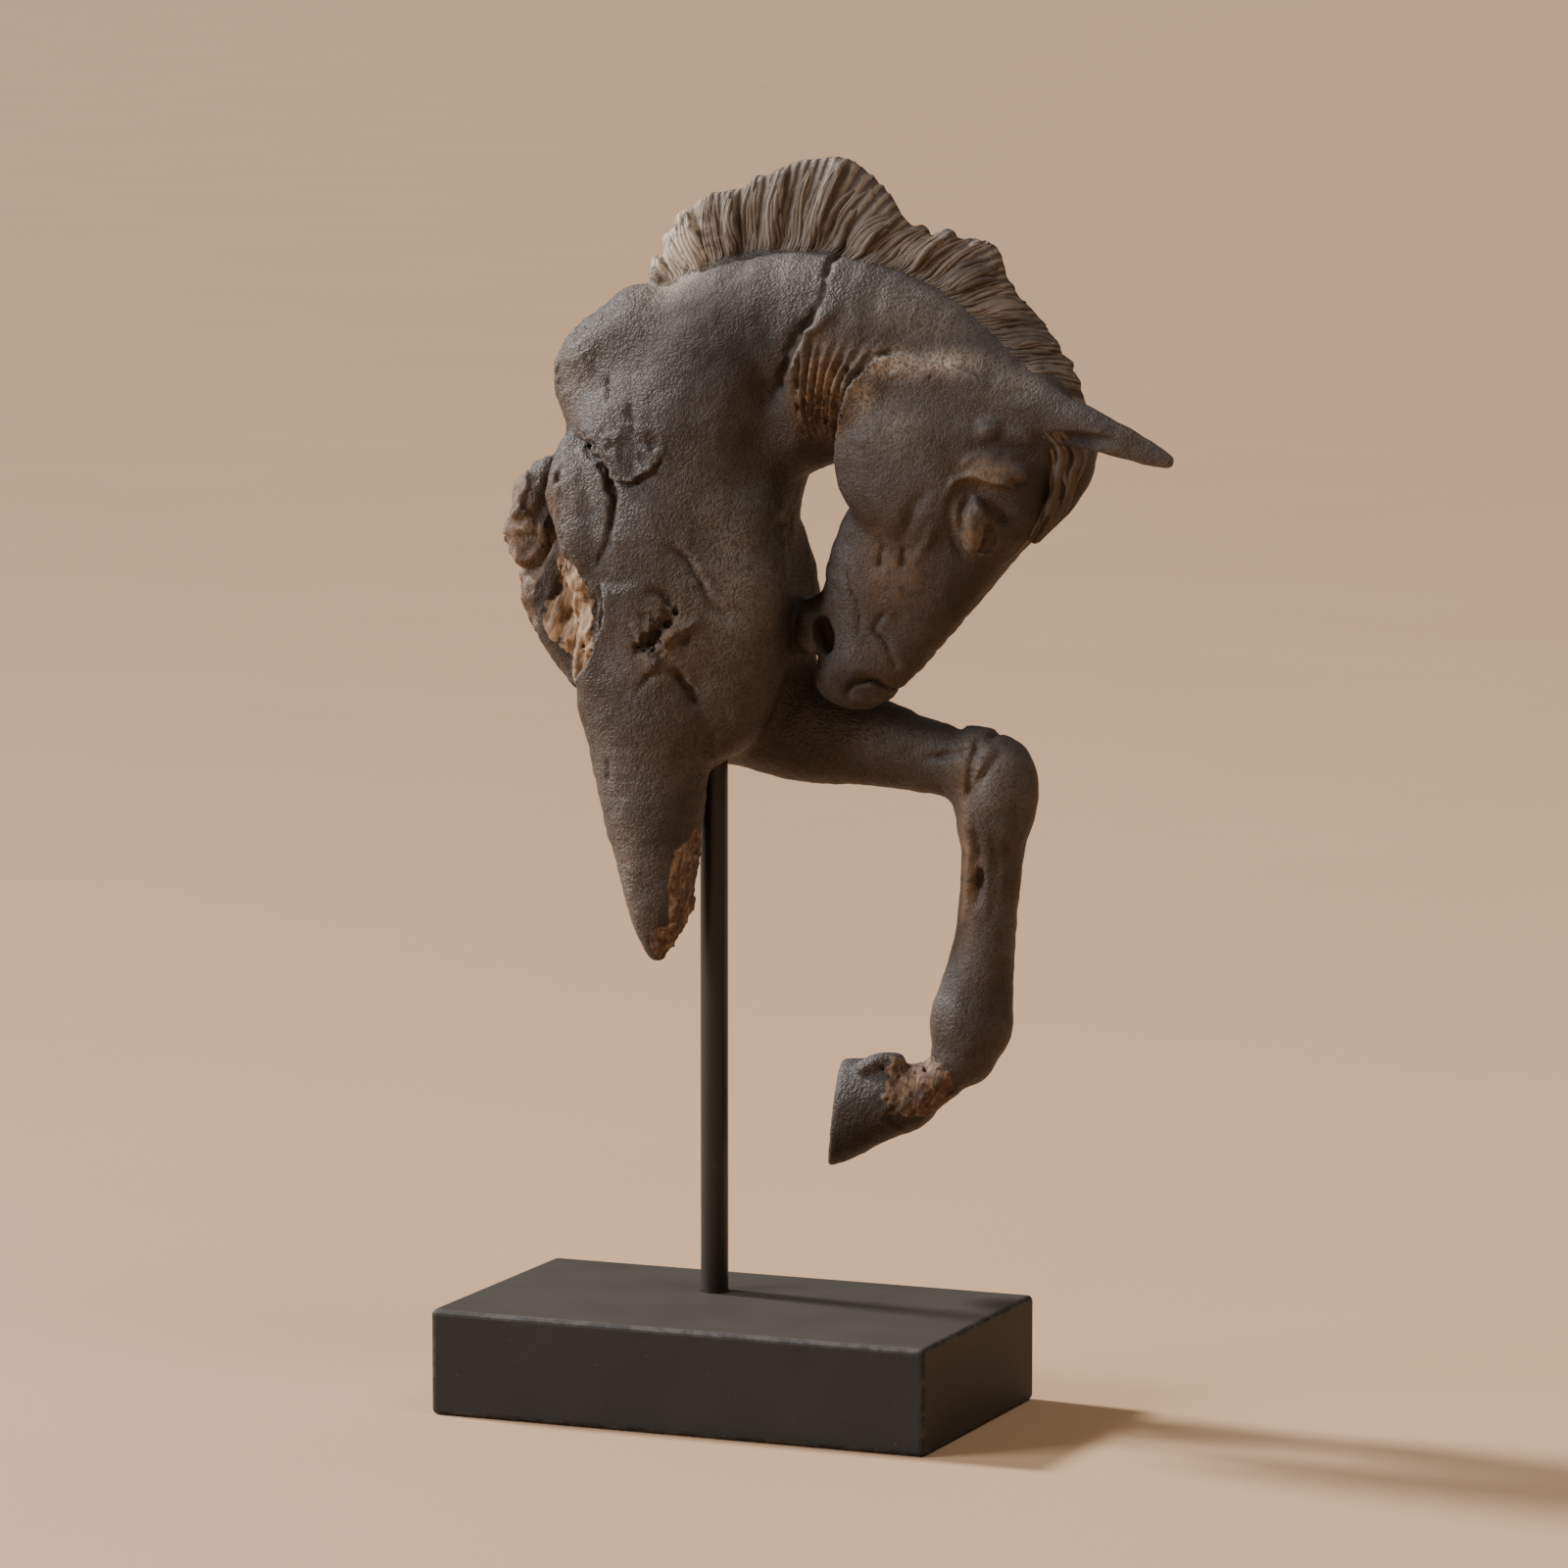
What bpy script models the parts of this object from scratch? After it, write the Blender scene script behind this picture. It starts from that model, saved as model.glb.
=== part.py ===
"""A resin fragment of a horse, held up by a thin black rod in a matt black block.

Metres, +Z up. The origin is the middle of the block's underside. The horse faces +X, and its
near side, the one with the broken foreleg, faces -Y.
"""

import math

import bmesh
import bpy
from mathutils import Matrix, Vector, noise

MM = 0.001

# Driving dimensions
BASE_LENGTH = 0.190
BASE_DEPTH = 0.1084
BASE_HEIGHT = 0.0385
BASE_EDGE = 0.0022
ROD_DIAMETER = 0.010
ROD_X = -0.0143
ROD_Y = 0.016
ROD_TOP = 0.268
ROD_IN_BASE = 0.028
ROD_CHAMFER = 0.0006
MIDPLANE_Y = 0.015
GAP = 0.0003

# How finely the casting is shaped: the flesh is fused and softened first, then the rest with it
FLESH_VOXEL = 0.0022
FLESH_SOFTENING = 16
VOXEL = 0.0016
SOFTENING = 4
CHIP_SOFTENING = 2
HORSE_TRIANGLES = 8600
RING_SIDES = 24
STEPS_PER_STATION = 4

# The limbs of the casting. A station is x, y from the mid-plane, z, the half height in the
# mid-plane and the half width across it, in millimetres.
FLESH = {
    "neck": [
        (-30, 0, 292, 38, 31), (-27, 0, 332, 43, 32), (-8, 0, 366, 42, 31), (30, 0, 379, 38, 27),
        (66, 0, 375, 32, 21), (98, 0, 359, 23, 18), (112, 0, 350, 16, 15),
    ],
    "torso": [
        (-24, 0, 345, 36, 33), (-23, 0, 314, 36, 36), (-17, 0, 284, 36, 37), (-20, 0, 256, 26, 33),
    ],
    "withers": [(-46, -6, 357, 13, 13), (-47, -4, 373, 18, 16), (-30, 0, 384, 20, 18)],
    "near_shoulder": [
        (-43, -16, 352, 15, 14), (-36, -22, 322, 26, 17), (-27, -24, 288, 29, 17), (-30, -21, 254, 25, 17),
    ],
    "far_shoulder": [
        (-50, 18, 350, 17, 15), (-34, 22, 320, 25, 17), (-22, 23, 285, 28, 17), (-14, 20, 257, 22, 17),
    ],
    "near_breast": [
        (2, -14, 322, 15, 13), (2, -16, 290, 18, 15), (-1, -15, 262, 16, 14), (-5, -14, 251, 15, 14),
    ],
    "far_breast": [(-8, 15, 322, 13, 12), (0, 17, 294, 18, 15), (-1, 16, 262, 17, 14)],
    "barrel": [
        (-54, 2, 348, 8, 18), (-65, 4, 331, 15, 23), (-71, 4, 309, 18.5, 25), (-69, 4, 292, 15, 23),
        (-60, 2, 272, 12, 19),
    ],
    "broken_foreleg": [
        (-31.5, -18, 262, 25, 22), (-31, -19, 240, 22, 20), (-29, -20, 218, 18.6, 17),
        (-27, -21, 196, 14, 13.5), (-26.2, -21, 181, 11, 11), (-27, -20, 171, 7.5, 7.5),
    ],
    "forearm": [
        (-18, 16, 250, 19, 17), (10, 19, 245, 20.5, 18), (32, 20, 240, 17, 16), (55, 20, 236.5, 14.5, 13),
        (76, 20, 233, 13, 12),
    ],
    "knee": [(82, 20, 234, 12, 12.5), (88, 20, 229, 13, 13), (87, 20, 216, 12.3, 12.5)],
    "cannon": [
        (86.5, 20, 219, 12.6, 12), (85.6, 20, 203, 11.5, 10.5), (84.3, 20, 184, 10.6, 9.5),
        (82.6, 20, 168, 11.2, 10), (80, 20, 152, 13.6, 11.5), (77.5, 20, 138, 14, 12.5),
    ],
    "fetlock": [(77.5, 20, 141, 14.2, 12.5), (75, 20, 129, 11.5, 11.5)],
}
TRIM = {
    "flap": [(-57, -13, 345, 7, 8), (-61, -16, 330, 10, 9), (-58, -18, 312, 9, 8), (-53, -18, 300, 6, 6)],
    "pastern": [(75, 20, 127.5, 9.5, 10.5), (65, 20, 118, 8.5, 9.5), (54, 20, 111.5, 10.5, 10.5)],
    "hoof": [
        (52, 20, 110.5, 12.3, 12), (46, 20, 110, 13.8, 13.5), (36, 20, 107.5, 16.3, 15),
        (25, 20, 104.5, 18.5, 16.5), (14, 20, 102, 20, 17.5),
    ],
    "poll": [(96, 0, 368, 17, 14), (109, 0, 362, 15, 12), (116, 0, 351, 12, 10)],
    "chin": [(36, 0, 289, 8, 9), (28, 0, 284, 9.3, 9.5), (23, 0, 281.5, 10, 10)],
    "muzzle": [(45, 0, 270, 14, 12), (39, 0, 265.5, 10.5, 12.5), (36, 0, 264, 8.5, 11)],
    "near_ear": [
        (102, -11, 364, 11, 6), (120, -13, 360.5, 8.8, 5.6), (140, -13, 354.5, 6.8, 4.6),
        (156, -12, 348.7, 4.6, 3.4), (163.5, -12, 345.6, 3.4, 2.8),
    ],
    "far_ear": [
        (100, 10, 362, 9, 6), (103, 18, 366, 7, 5), (103, 24, 371, 4, 3.5), (102, 27, 375, 2.4, 2.4),
    ],
    "forelock": [
        (117, 0, 358, 9, 10), (122.5, 0, 343, 7.5, 11), (118, 0, 330, 5, 9.5), (108, 0, 317, 3.4, 7),
    ],
}
# The head is a wedge, so its sections are squarer than an ellipse.
HEAD = [
    (110, 0, 361, 14, 14), (101, 0, 351.5, 24, 18), (86.5, 0, 339, 31.5, 19.5),
    (74.5, 0, 323.5, 30, 18), (60.8, 0, 306.2, 28.7, 15.5), (52, 0, 287.8, 23.5, 13),
    (45.5, 0, 274, 18, 12), (42, 0, 265.5, 12.5, 11.5),
]
HEAD_SQUARENESS = 2.4

# Forms that stand on both sides of the head: x, distance from the mid-plane and z, then three
# half sizes in millimetres, and the turn about Y in degrees.
PAIRED_FORMS = {
    "cheek": ((67.5, 11, 343), (29.5, 12, 30), 0),
    "eye": ((95, 18.5, 322), (6, 4.5, 9.5), -18),
    "brow": ((99, 17, 337.5), (11, 5, 4.5), -25),
}

# The mane is a crest of locks. A guide is its root's x and z and its tip's x and z.
MANE_GUIDES = [
    (-33, 403, -35, 411), (-24, 408, -32, 420), (-19, 411, -26, 429), (-11, 414, -14, 436),
    (-5, 417, -6, 436), (2, 418, 4, 443), (10, 419, 14, 446), (18, 419, 25, 449), (25, 419, 37, 449),
    (34, 418, 48, 438), (43, 415, 56, 428), (53, 413, 67, 424), (62, 409, 78, 424), (69, 405, 90, 421),
    (76, 401, 96, 411), (84, 395, 105, 399), (91, 390, 113, 389), (103, 381, 121, 377),
    (112, 373, 127, 365),
]
MANE_STEPS = 8
MANE_HEIGHTS = (0.0, 0.2, 0.4, 0.6, 0.8, 0.93, 1.0)
MANE_LOCKS = 30
MANE_SINK = 7
MANE_HALF_ROOT = 5.6
MANE_HALF_TIP = 3.0
MANE_EDGE_ROUNDING = 0.45
LOCK_LEAN = 0.5
LOCK_RELIEF = 1.0
LOCK_LOBES = 1.3

# The sole of the raised hoof: its lowest point in millimetres, its lean and its turn about Z
SOLE_AT = (22.6, 35, 86)
SOLE_LEAN = 7.5
SOLE_TURN = 17
SOLE_BLOCK = 0.06

# The broken skin of the body and of the foreleg: centre, reach, and how far the chips stand
# proud or lie back, in millimetres
BREAKS = [
    ((-82, 18, 310), (26, 60, 46), 3.0),
    ((-22, -6, 172), (16, 30, 24), 2.0),
]
BREAK_FADE = 2.2
CHIP_SIZES = (13.0, 6.0)
FINE_CHIPS = 0.4

ROUND_SIDES = 32
CAP_DEGREES = (84, 66, 45, 22)


def material(name, colour, roughness, metallic=0.0):
    made = bpy.data.materials.new(name)
    made.use_nodes = True
    shader = made.node_tree.nodes["Principled BSDF"]
    shader.inputs["Base Color"].default_value = (*colour, 1)
    shader.inputs["Roughness"].default_value = roughness
    shader.inputs["Metallic"].default_value = metallic
    made.diffuse_color = (*colour, 1)
    return made


def through(stations, count):
    """Points on a smooth curve through the stations, `count` to each span."""
    points = [Vector(station) for station in stations]
    points = [2 * points[0] - points[1], *points, 2 * points[-1] - points[-2]]
    found = []
    for before, start, end, after in zip(points, points[1:], points[2:], points[3:]):
        for step in range(count):
            t = step / count
            found.append(0.5 * (
                2 * start
                + (end - before) * t
                + (2 * before - 5 * start + 4 * end - after) * t**2
                + (3 * start - before - 3 * end + after) * t**3
            ))
    found.append(points[-2])
    return found


def close_rings(bm, rings):
    """A closed skin over rings of the same number of points, with a flat face at each end."""
    loops = [[bm.verts.new(point) for point in ring] for ring in rings]
    for low, high in zip(loops, loops[1:]):
        for i in range(len(low)):
            j = (i + 1) % len(low)
            bm.faces.new((low[i], low[j], high[j], high[i]))
    bm.faces.new(reversed(loops[0]))
    bm.faces.new(loops[-1])


def section(centre, along, half_height, half_width, squareness):
    """One ring of a limb, square to its spine, with its width kept across the mid-plane."""
    across = (Vector((0, 1, 0)) - along * along.y).normalized()
    upward = along.cross(across)
    ring = []
    for i in range(RING_SIDES):
        angle = 2 * math.pi * i / RING_SIDES
        up, side = math.cos(angle), math.sin(angle)
        reach = (abs(up) ** squareness + abs(side) ** squareness) ** (-1 / squareness)
        ring.append(centre + upward * (half_height * reach * up) + across * (half_width * reach * side))
    return ring


def add_limb(bm, stations, squareness=2.0):
    """A limb lofted along its spine, with a rounded cap at each end."""
    rows = through(stations, STEPS_PER_STATION)
    spine = [Vector((row[0], row[1] + MIDPLANE_Y / MM, row[2])) for row in rows]
    steps = [after - before for before, after in zip(spine, spine[1:])]
    tangents = [(a + b).normalized() for a, b in zip([steps[0], *steps], [*steps, steps[-1]])]
    rings = []

    def cap(i, side, degrees):
        for angle in map(math.radians, degrees):
            height, width = rows[i][3], rows[i][4]
            centre = spine[i] + tangents[i] * (side * min(height, width) * math.sin(angle))
            shrink = math.cos(angle)
            rings.append(section(centre, tangents[i], height * shrink, width * shrink, squareness))

    cap(0, -1, CAP_DEGREES)
    for centre, along, row in zip(spine, tangents, rows):
        rings.append(section(centre, along, row[3], row[4], squareness))
    cap(-1, 1, reversed(CAP_DEGREES))
    close_rings(bm, [[point * MM for point in ring] for ring in rings])


def add_paired_forms(bm):
    for centre, half_sizes, turn in PAIRED_FORMS.values():
        for side in (-1, 1):
            x, away, z = centre
            place = Matrix.Translation(Vector((x, MIDPLANE_Y / MM + side * away, z)) * MM)
            place @= Matrix.Rotation(math.radians(turn), 4, "Y")
            place @= Matrix.Diagonal((*(Vector(half_sizes) * MM), 1))
            bmesh.ops.create_uvsphere(
                bm, u_segments=RING_SIDES, v_segments=RING_SIDES // 2, radius=1, matrix=place
            )


def add_mane(bm):
    """The crest of locks: a thin upright leaf whose thickness and edge swell at each lock."""
    guides = through(MANE_GUIDES, MANE_STEPS)
    last = len(guides) - 1
    rings = []
    for i, guide in enumerate(guides):
        root, tip = Vector((guide[0], 0, guide[1])), Vector((guide[2], 0, guide[3]))
        crest = guides[min(i + 1, last)] - guides[max(i - 1, 0)]
        inward = Vector((crest[1], 0, -crest[0])).normalized()
        lock = math.cos(2 * math.pi * MANE_LOCKS * i / last)
        tip += (tip - root).normalized() * (LOCK_LOBES * lock)
        root += inward * MANE_SINK
        # A lock leaves the crest square to it and then leans towards its tip.
        lean = root - inward * ((tip - root).length * LOCK_LEAN)
        near, far = [], []
        for s in MANE_HEIGHTS:
            centre = root * (1 - s) ** 2 + lean * (2 * s * (1 - s)) + tip * s**2
            half = MANE_HALF_ROOT + (MANE_HALF_TIP - MANE_HALF_ROOT) * s
            half += LOCK_RELIEF * lock * min(1, 3 * s)
            half *= MANE_EDGE_ROUNDING if s == 1 else 1
            near.append(centre + Vector((0, MIDPLANE_Y / MM - half, 0)))
            far.append(centre + Vector((0, MIDPLANE_Y / MM + half, 0)))
        rings.append([point * MM for point in near + far[::-1]])
    close_rings(bm, rings)


def settle(obj):
    """Keeps what the modifiers make, and drops them."""
    made = bpy.data.meshes.new_from_object(obj.evaluated_get(bpy.context.evaluated_depsgraph_get()))
    obj.modifiers.clear()
    obj.data = made


def chip_breaks(mesh):
    """Steps the skin in and out by small flat chips, where the casting is broken."""
    bm = bmesh.new()
    bm.from_mesh(mesh)
    bm.normal_update()
    moves = []
    for vertex in bm.verts:
        place = vertex.co / MM
        depth = 0.0
        for centre, reach, most in BREAKS:
            away = Vector((place[k] - centre[k]) / reach[k] for k in range(3)).length
            strength = min(1.0, max(0.0, BREAK_FADE * (1 - away)))
            coarse, fine = (noise.cell(place / size) - 0.5 for size in CHIP_SIZES)
            depth += most * strength * (coarse + FINE_CHIPS * fine)
        moves.append(vertex.normal * (depth * MM))
    for vertex, move in zip(bm.verts, moves):
        vertex.co += move
    bm.to_mesh(mesh)
    bm.free()


def object_from(bm, name, shade=None):
    """An object of this name in the scene, from the mesh being built."""
    mesh = bpy.data.meshes.new(name)
    bm.to_mesh(mesh)
    bm.free()
    obj = bpy.data.objects.new(name, mesh)
    bpy.context.scene.collection.objects.link(obj)
    if shade:
        mesh.materials.append(shade)
    return obj


def shade_round(mesh, sharp_degrees):
    mesh.shade_smooth()
    mesh.set_sharp_from_angle(angle=math.radians(sharp_degrees))


def cutter(bm, name):
    """A helper that the solids are cut with, which isn't part of the object."""
    obj = object_from(bm, name)
    obj.display_type = "WIRE"
    obj.hide_render = True
    return obj


def cut(obj, tool):
    modifier = obj.modifiers.new(tool.name, "BOOLEAN")
    modifier.operation = "DIFFERENCE"
    modifier.object = tool


def upright_cylinder(radius, bottom, top):
    bm = bmesh.new()
    middle = Matrix.Translation((ROD_X, ROD_Y, (bottom + top) / 2))
    bmesh.ops.create_cone(
        bm, cap_ends=True, segments=ROUND_SIDES, radius1=radius, radius2=radius,
        depth=top - bottom, matrix=middle,
    )
    return bm


def rod_cutter(name, bottom, top):
    return cutter(upright_cylinder(ROD_DIAMETER / 2 + GAP, bottom, top), name)


def sole_cutter():
    """A block whose face is the flat sole of the raised hoof."""
    place = Matrix.Translation(Vector(SOLE_AT) * MM)
    place @= Matrix.Rotation(math.radians(SOLE_TURN), 4, "Z")
    place @= Matrix.Rotation(math.radians(SOLE_LEAN), 4, "Y")
    place @= Matrix.Translation((-SOLE_BLOCK / 2, 0, 0))
    place @= Matrix.Diagonal((SOLE_BLOCK, 2 * SOLE_BLOCK, 3 * SOLE_BLOCK, 1))
    bm = bmesh.new()
    bmesh.ops.create_cube(bm, size=1, matrix=place)
    return cutter(bm, "sole_cutter")


def soften(obj, steps):
    modifier = obj.modifiers.new("soften", "SMOOTH")
    modifier.factor = 0.5
    modifier.iterations = steps


def fuse(obj, voxel, softening):
    """Makes one skin of the overlapping closed forms, and rounds the creases between them."""
    modifier = obj.modifiers.new("fuse", "REMESH")
    modifier.mode = "VOXEL"
    modifier.voxel_size = voxel
    soften(obj, softening)
    settle(obj)


def make_horse():
    bm = bmesh.new()
    for stations in FLESH.values():
        add_limb(bm, stations)
    bmesh.ops.recalc_face_normals(bm, faces=bm.faces[:])
    horse = object_from(bm, "horse", material("resin", (0.052, 0.040, 0.034), 0.62))
    fuse(horse, FLESH_VOXEL, FLESH_SOFTENING)

    bm = bmesh.new()
    for stations in TRIM.values():
        add_limb(bm, stations)
    add_limb(bm, HEAD, HEAD_SQUARENESS)
    add_paired_forms(bm)
    add_mane(bm)
    bmesh.ops.recalc_face_normals(bm, faces=bm.faces[:])
    bm.from_mesh(horse.data)
    bm.to_mesh(horse.data)
    bm.free()
    fuse(horse, VOXEL, SOFTENING)

    chip_breaks(horse.data)
    soften(horse, CHIP_SOFTENING)
    thin = horse.modifiers.new("thin", "DECIMATE")
    thin.ratio = HORSE_TRIANGLES / (2 * len(horse.data.polygons))
    settle(horse)
    cut(horse, sole_cutter())
    cut(horse, rod_cutter("socket_cutter", BASE_HEIGHT + GAP, ROD_TOP + GAP))
    settle(horse)
    shade_round(horse.data, 50)


def make_rod():
    bm = upright_cylinder(ROD_DIAMETER / 2, BASE_HEIGHT - ROD_IN_BASE, ROD_TOP)
    rims = [edge for edge in bm.edges if edge.verts[0].co.z == edge.verts[1].co.z]
    bmesh.ops.bevel(bm, geom=rims, offset=ROD_CHAMFER, segments=1, affect="EDGES")
    rod = object_from(bm, "rod", material("black_steel", (0.012, 0.011, 0.010), 0.38))
    shade_round(rod.data, 35)


def make_base():
    bm = bmesh.new()
    size = Matrix.Diagonal((BASE_LENGTH, BASE_DEPTH, BASE_HEIGHT, 1))
    bmesh.ops.create_cube(bm, size=1, matrix=Matrix.Translation((0, 0, BASE_HEIGHT / 2)) @ size)
    bmesh.ops.bevel(bm, geom=bm.edges[:], offset=BASE_EDGE, segments=4, profile=0.5, affect="EDGES")
    base = object_from(bm, "base", material("black_paint", (0.018, 0.016, 0.015), 0.72))
    shade_round(base.data, 35)
    cut(base, rod_cutter("rod_hole_cutter", BASE_HEIGHT - ROD_IN_BASE - GAP, ROD_TOP))


def main():
    for obj in list(bpy.data.objects):
        bpy.data.objects.remove(obj)
    make_base()
    make_rod()
    make_horse()


main()
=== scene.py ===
import itertools
import math

import bmesh
import bpy
import numpy as np
from bpy.props import FloatProperty, FloatVectorProperty, IntProperty, PointerProperty
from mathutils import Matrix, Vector
from mathutils.bvhtree import BVHTree


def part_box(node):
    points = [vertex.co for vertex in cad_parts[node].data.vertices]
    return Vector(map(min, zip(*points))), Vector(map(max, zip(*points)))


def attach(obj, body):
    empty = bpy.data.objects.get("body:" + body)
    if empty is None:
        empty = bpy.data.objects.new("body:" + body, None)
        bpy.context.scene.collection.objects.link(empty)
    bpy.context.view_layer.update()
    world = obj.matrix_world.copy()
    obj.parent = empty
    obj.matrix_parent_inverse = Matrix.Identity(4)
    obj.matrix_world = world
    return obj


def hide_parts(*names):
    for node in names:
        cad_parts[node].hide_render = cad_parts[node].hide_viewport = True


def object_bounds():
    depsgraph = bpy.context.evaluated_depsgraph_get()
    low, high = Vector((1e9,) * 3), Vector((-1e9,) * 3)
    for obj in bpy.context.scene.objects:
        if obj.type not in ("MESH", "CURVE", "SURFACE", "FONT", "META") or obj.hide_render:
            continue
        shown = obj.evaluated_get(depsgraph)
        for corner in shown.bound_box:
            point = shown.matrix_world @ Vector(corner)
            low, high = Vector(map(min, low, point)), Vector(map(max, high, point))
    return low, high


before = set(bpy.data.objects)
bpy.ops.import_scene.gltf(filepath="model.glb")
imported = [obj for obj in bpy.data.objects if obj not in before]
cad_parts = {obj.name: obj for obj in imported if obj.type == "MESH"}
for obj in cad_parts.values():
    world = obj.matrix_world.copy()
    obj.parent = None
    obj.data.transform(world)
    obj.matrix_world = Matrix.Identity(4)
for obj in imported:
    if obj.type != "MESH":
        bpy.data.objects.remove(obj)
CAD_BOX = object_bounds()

bl_info = {
    "name": "Broken Horse Casting",
    "version": (1, 0, 0),
    "blender": (4, 5, 0),
    "location": "View3D > Sidebar > Casting",
    "description": "Models and finishes a resin fragment of a horse on a rod and a block",
    "category": "Object",
}

MM = 0.001
FAR_OUTSIDE = 50.0
# Nothing of the casting is lower than this
CASTING_FOOT = 80

# The casting's mid-plane, in millimetres. Everything that shapes it is in millimetres, with x the
# way the horse faces, y from the mid-plane (less than nought on the near side) and z up.
MIDPLANE = 15.0
NEAR, BOTH, FAR = -1, 0, 1

# A limb's station is x, y, z, the half height in the mid-plane and the half width across it.
# A limb melts into what stands before it over its blend.
LIMBS = [
    ("neck", 0, [
        (-30, 0, 292, 38, 31), (-27, 0, 332, 43, 32), (-8, 0, 366, 42, 31), (30, 0, 379, 38, 27),
        (66, 0, 375, 32, 21), (98, 0, 359, 23, 18), (112, 0, 350, 16, 15),
    ]),
    ("torso", 12, [
        (-24, 0, 345, 36, 33), (-23, 0, 314, 36, 36), (-17, 0, 284, 36, 37), (-20, 0, 256, 26, 33),
    ]),
    ("withers", 8, [(-51, -9, 355, 12, 13), (-54.5, -8, 370, 17, 15), (-36, -5, 383, 20.5, 17)]),
    ("near_shoulder", 9, [
        (-43, -16, 352, 15, 14), (-36, -22, 322, 26, 17), (-27, -24, 288, 29, 17), (-30, -21, 254, 25, 17),
    ]),
    ("far_shoulder", 9, [
        (-50, 18, 350, 17, 15), (-34, 22, 320, 25, 17), (-22, 23, 285, 28, 17), (-14, 20, 257, 22, 17),
    ]),
    ("near_breast", 9, [
        (2, -14, 322, 15, 13), (2, -16, 290, 18, 15), (-1, -15, 262, 16, 14), (-5, -14, 251, 15, 14),
    ]),
    ("far_breast", 9, [(-8, 15, 322, 13, 12), (0, 17, 294, 18, 15), (-1, 16, 262, 17, 14)]),
    ("barrel", 6, [
        (-54, 2, 348, 8, 18), (-65, 4, 331, 16, 23), (-71.5, 4, 309, 19.5, 25), (-71, 3, 292, 16.5, 24),
        (-64, 0, 275, 13.5, 21), (-57, -4, 262, 9, 15),
    ]),
    ("barrel_lobe", 1.5, [
        (-71, -15, 336, 5, 6), (-79, -15, 323, 8, 8), (-81, -14, 309, 7.5, 8), (-76, -13, 297, 5, 5),
    ]),
    ("broken_foreleg", 8, [
        (-31.5, -18, 262, 25, 22), (-31, -19, 240, 22, 20), (-29, -20, 218, 18.6, 17),
        (-27, -21, 196, 14, 13.5), (-26.2, -21, 181, 11, 11), (-27, -20, 172, 7.5, 7.5),
        (-28, -19.5, 166, 4.5, 5),
    ]),
    ("forearm", 7, [
        (-18, 16, 250, 19, 17), (10, 19, 245, 20.5, 18), (32, 20, 240, 17, 16),
        (55, 20, 236.5, 14.5, 13), (76, 20, 233, 13, 12),
    ]),
    ("knee", 6, [(82, 20, 234, 12, 12.5), (88, 20, 229, 13, 13), (87, 20, 216, 12.3, 12.5)]),
    ("cannon", 9, [
        (86.5, 20, 219, 12.6, 12), (85.6, 20, 203, 11.5, 10.5), (84.3, 20, 184, 10.6, 9.5),
        (82.6, 20, 168, 11.2, 10), (80, 20, 152, 13.6, 11.5), (77.5, 20, 138, 14, 12.5),
    ]),
    ("fetlock", 4, [(77.5, 20, 141, 14.2, 12.5), (75, 20, 129, 11.5, 11.5)]),
    ("pastern", 3, [(75, 20, 127.5, 9.5, 10.5), (65, 20, 118, 8.5, 9.5), (54, 20, 111.5, 10.5, 10.5)]),
    ("heel_bulb", 2, [(40, 12, 122, 3, 4), (45, 14, 124.5, 3.2, 5), (50, 17, 124, 3.5, 5)]),
    ("head", 3, [
        (110, 0, 361, 14, 14), (101, 0, 351.5, 24, 18), (86.5, 0, 339, 31.5, 19.5),
        (74.5, 0, 323.5, 30, 18), (60.8, 0, 306.2, 28.7, 15.5), (52, 0, 287.8, 23.5, 13),
        (45.5, 0, 274, 18, 12), (42, 0, 265.5, 12.5, 11.5),
    ]),
    ("poll", 8, [(96, 0, 368, 17, 14), (109, 0, 362, 15, 12), (116, 0, 351, 12, 10)]),
    ("chin", 3, [(36, 0, 289, 8, 9), (28, 0, 284, 9.3, 9.5), (23, 0, 281.5, 10, 10)]),
    ("muzzle", 4, [(45, 0, 270, 14, 12), (39, 0, 265.5, 10.5, 12.5), (36, 0, 264, 8.5, 11)]),
    ("near_ear", 6, [
        (102, -11, 364, 11, 6), (120, -13, 360.5, 8.5, 5.5), (140, -13, 354.5, 6.3, 4.2),
        (156, -12, 348.7, 4.0, 2.6), (162.5, -12, 346, 2.2, 1.8),
    ]),
    ("far_ear", 5, [
        (100, 10, 362, 9, 6), (103, 18, 366, 7, 5), (103, 24, 371, 4, 3.5), (102, 27, 375, 2, 2),
    ]),
    ("forelock", 3, [
        (117, 0, 358, 9, 10), (122, 0, 343, 7, 10.5), (117.5, 0, 330, 4.6, 9), (108, 0, 317, 3, 7),
    ]),
    ("flap", 1, [
        (-57, -22, 346, 8, 5), (-54, -28, 334, 12, 7.5), (-51.5, -32, 320, 11, 7.5), (-48, -35, 309, 7.5, 5),
        (-46.5, -36, 304, 4, 3),
    ]),
]
HEAD_SQUARENESS = 2.4
# Steps along a limb, and between two points of a carved path
LIMB_STEPS = 24
PATH_STEPS = 5
# Room that a form's fillet gets round it, and how far from the surface lines, lips and chips reach
FORM_MARGIN = 6
MARK_REACH = 9
# The share of its length over which a line, or a lip, fades in and out
LINE_FADE, LIP_FADE = 0.22, 0.15
# A lip ends this many reaches from its path, and has a groove of this half width at its foot
LIP_END = 2.4
LIP_FOOT = 0.9
# How far carved lines and lips stray: rough ones of the near side, and the even ones of head and legs
LINE_STRAY, EVEN_LINE_STRAY = 1.1, 0.35
LIP_STRAY, EVEN_LIP_STRAY = 1.2, 0.3

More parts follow.
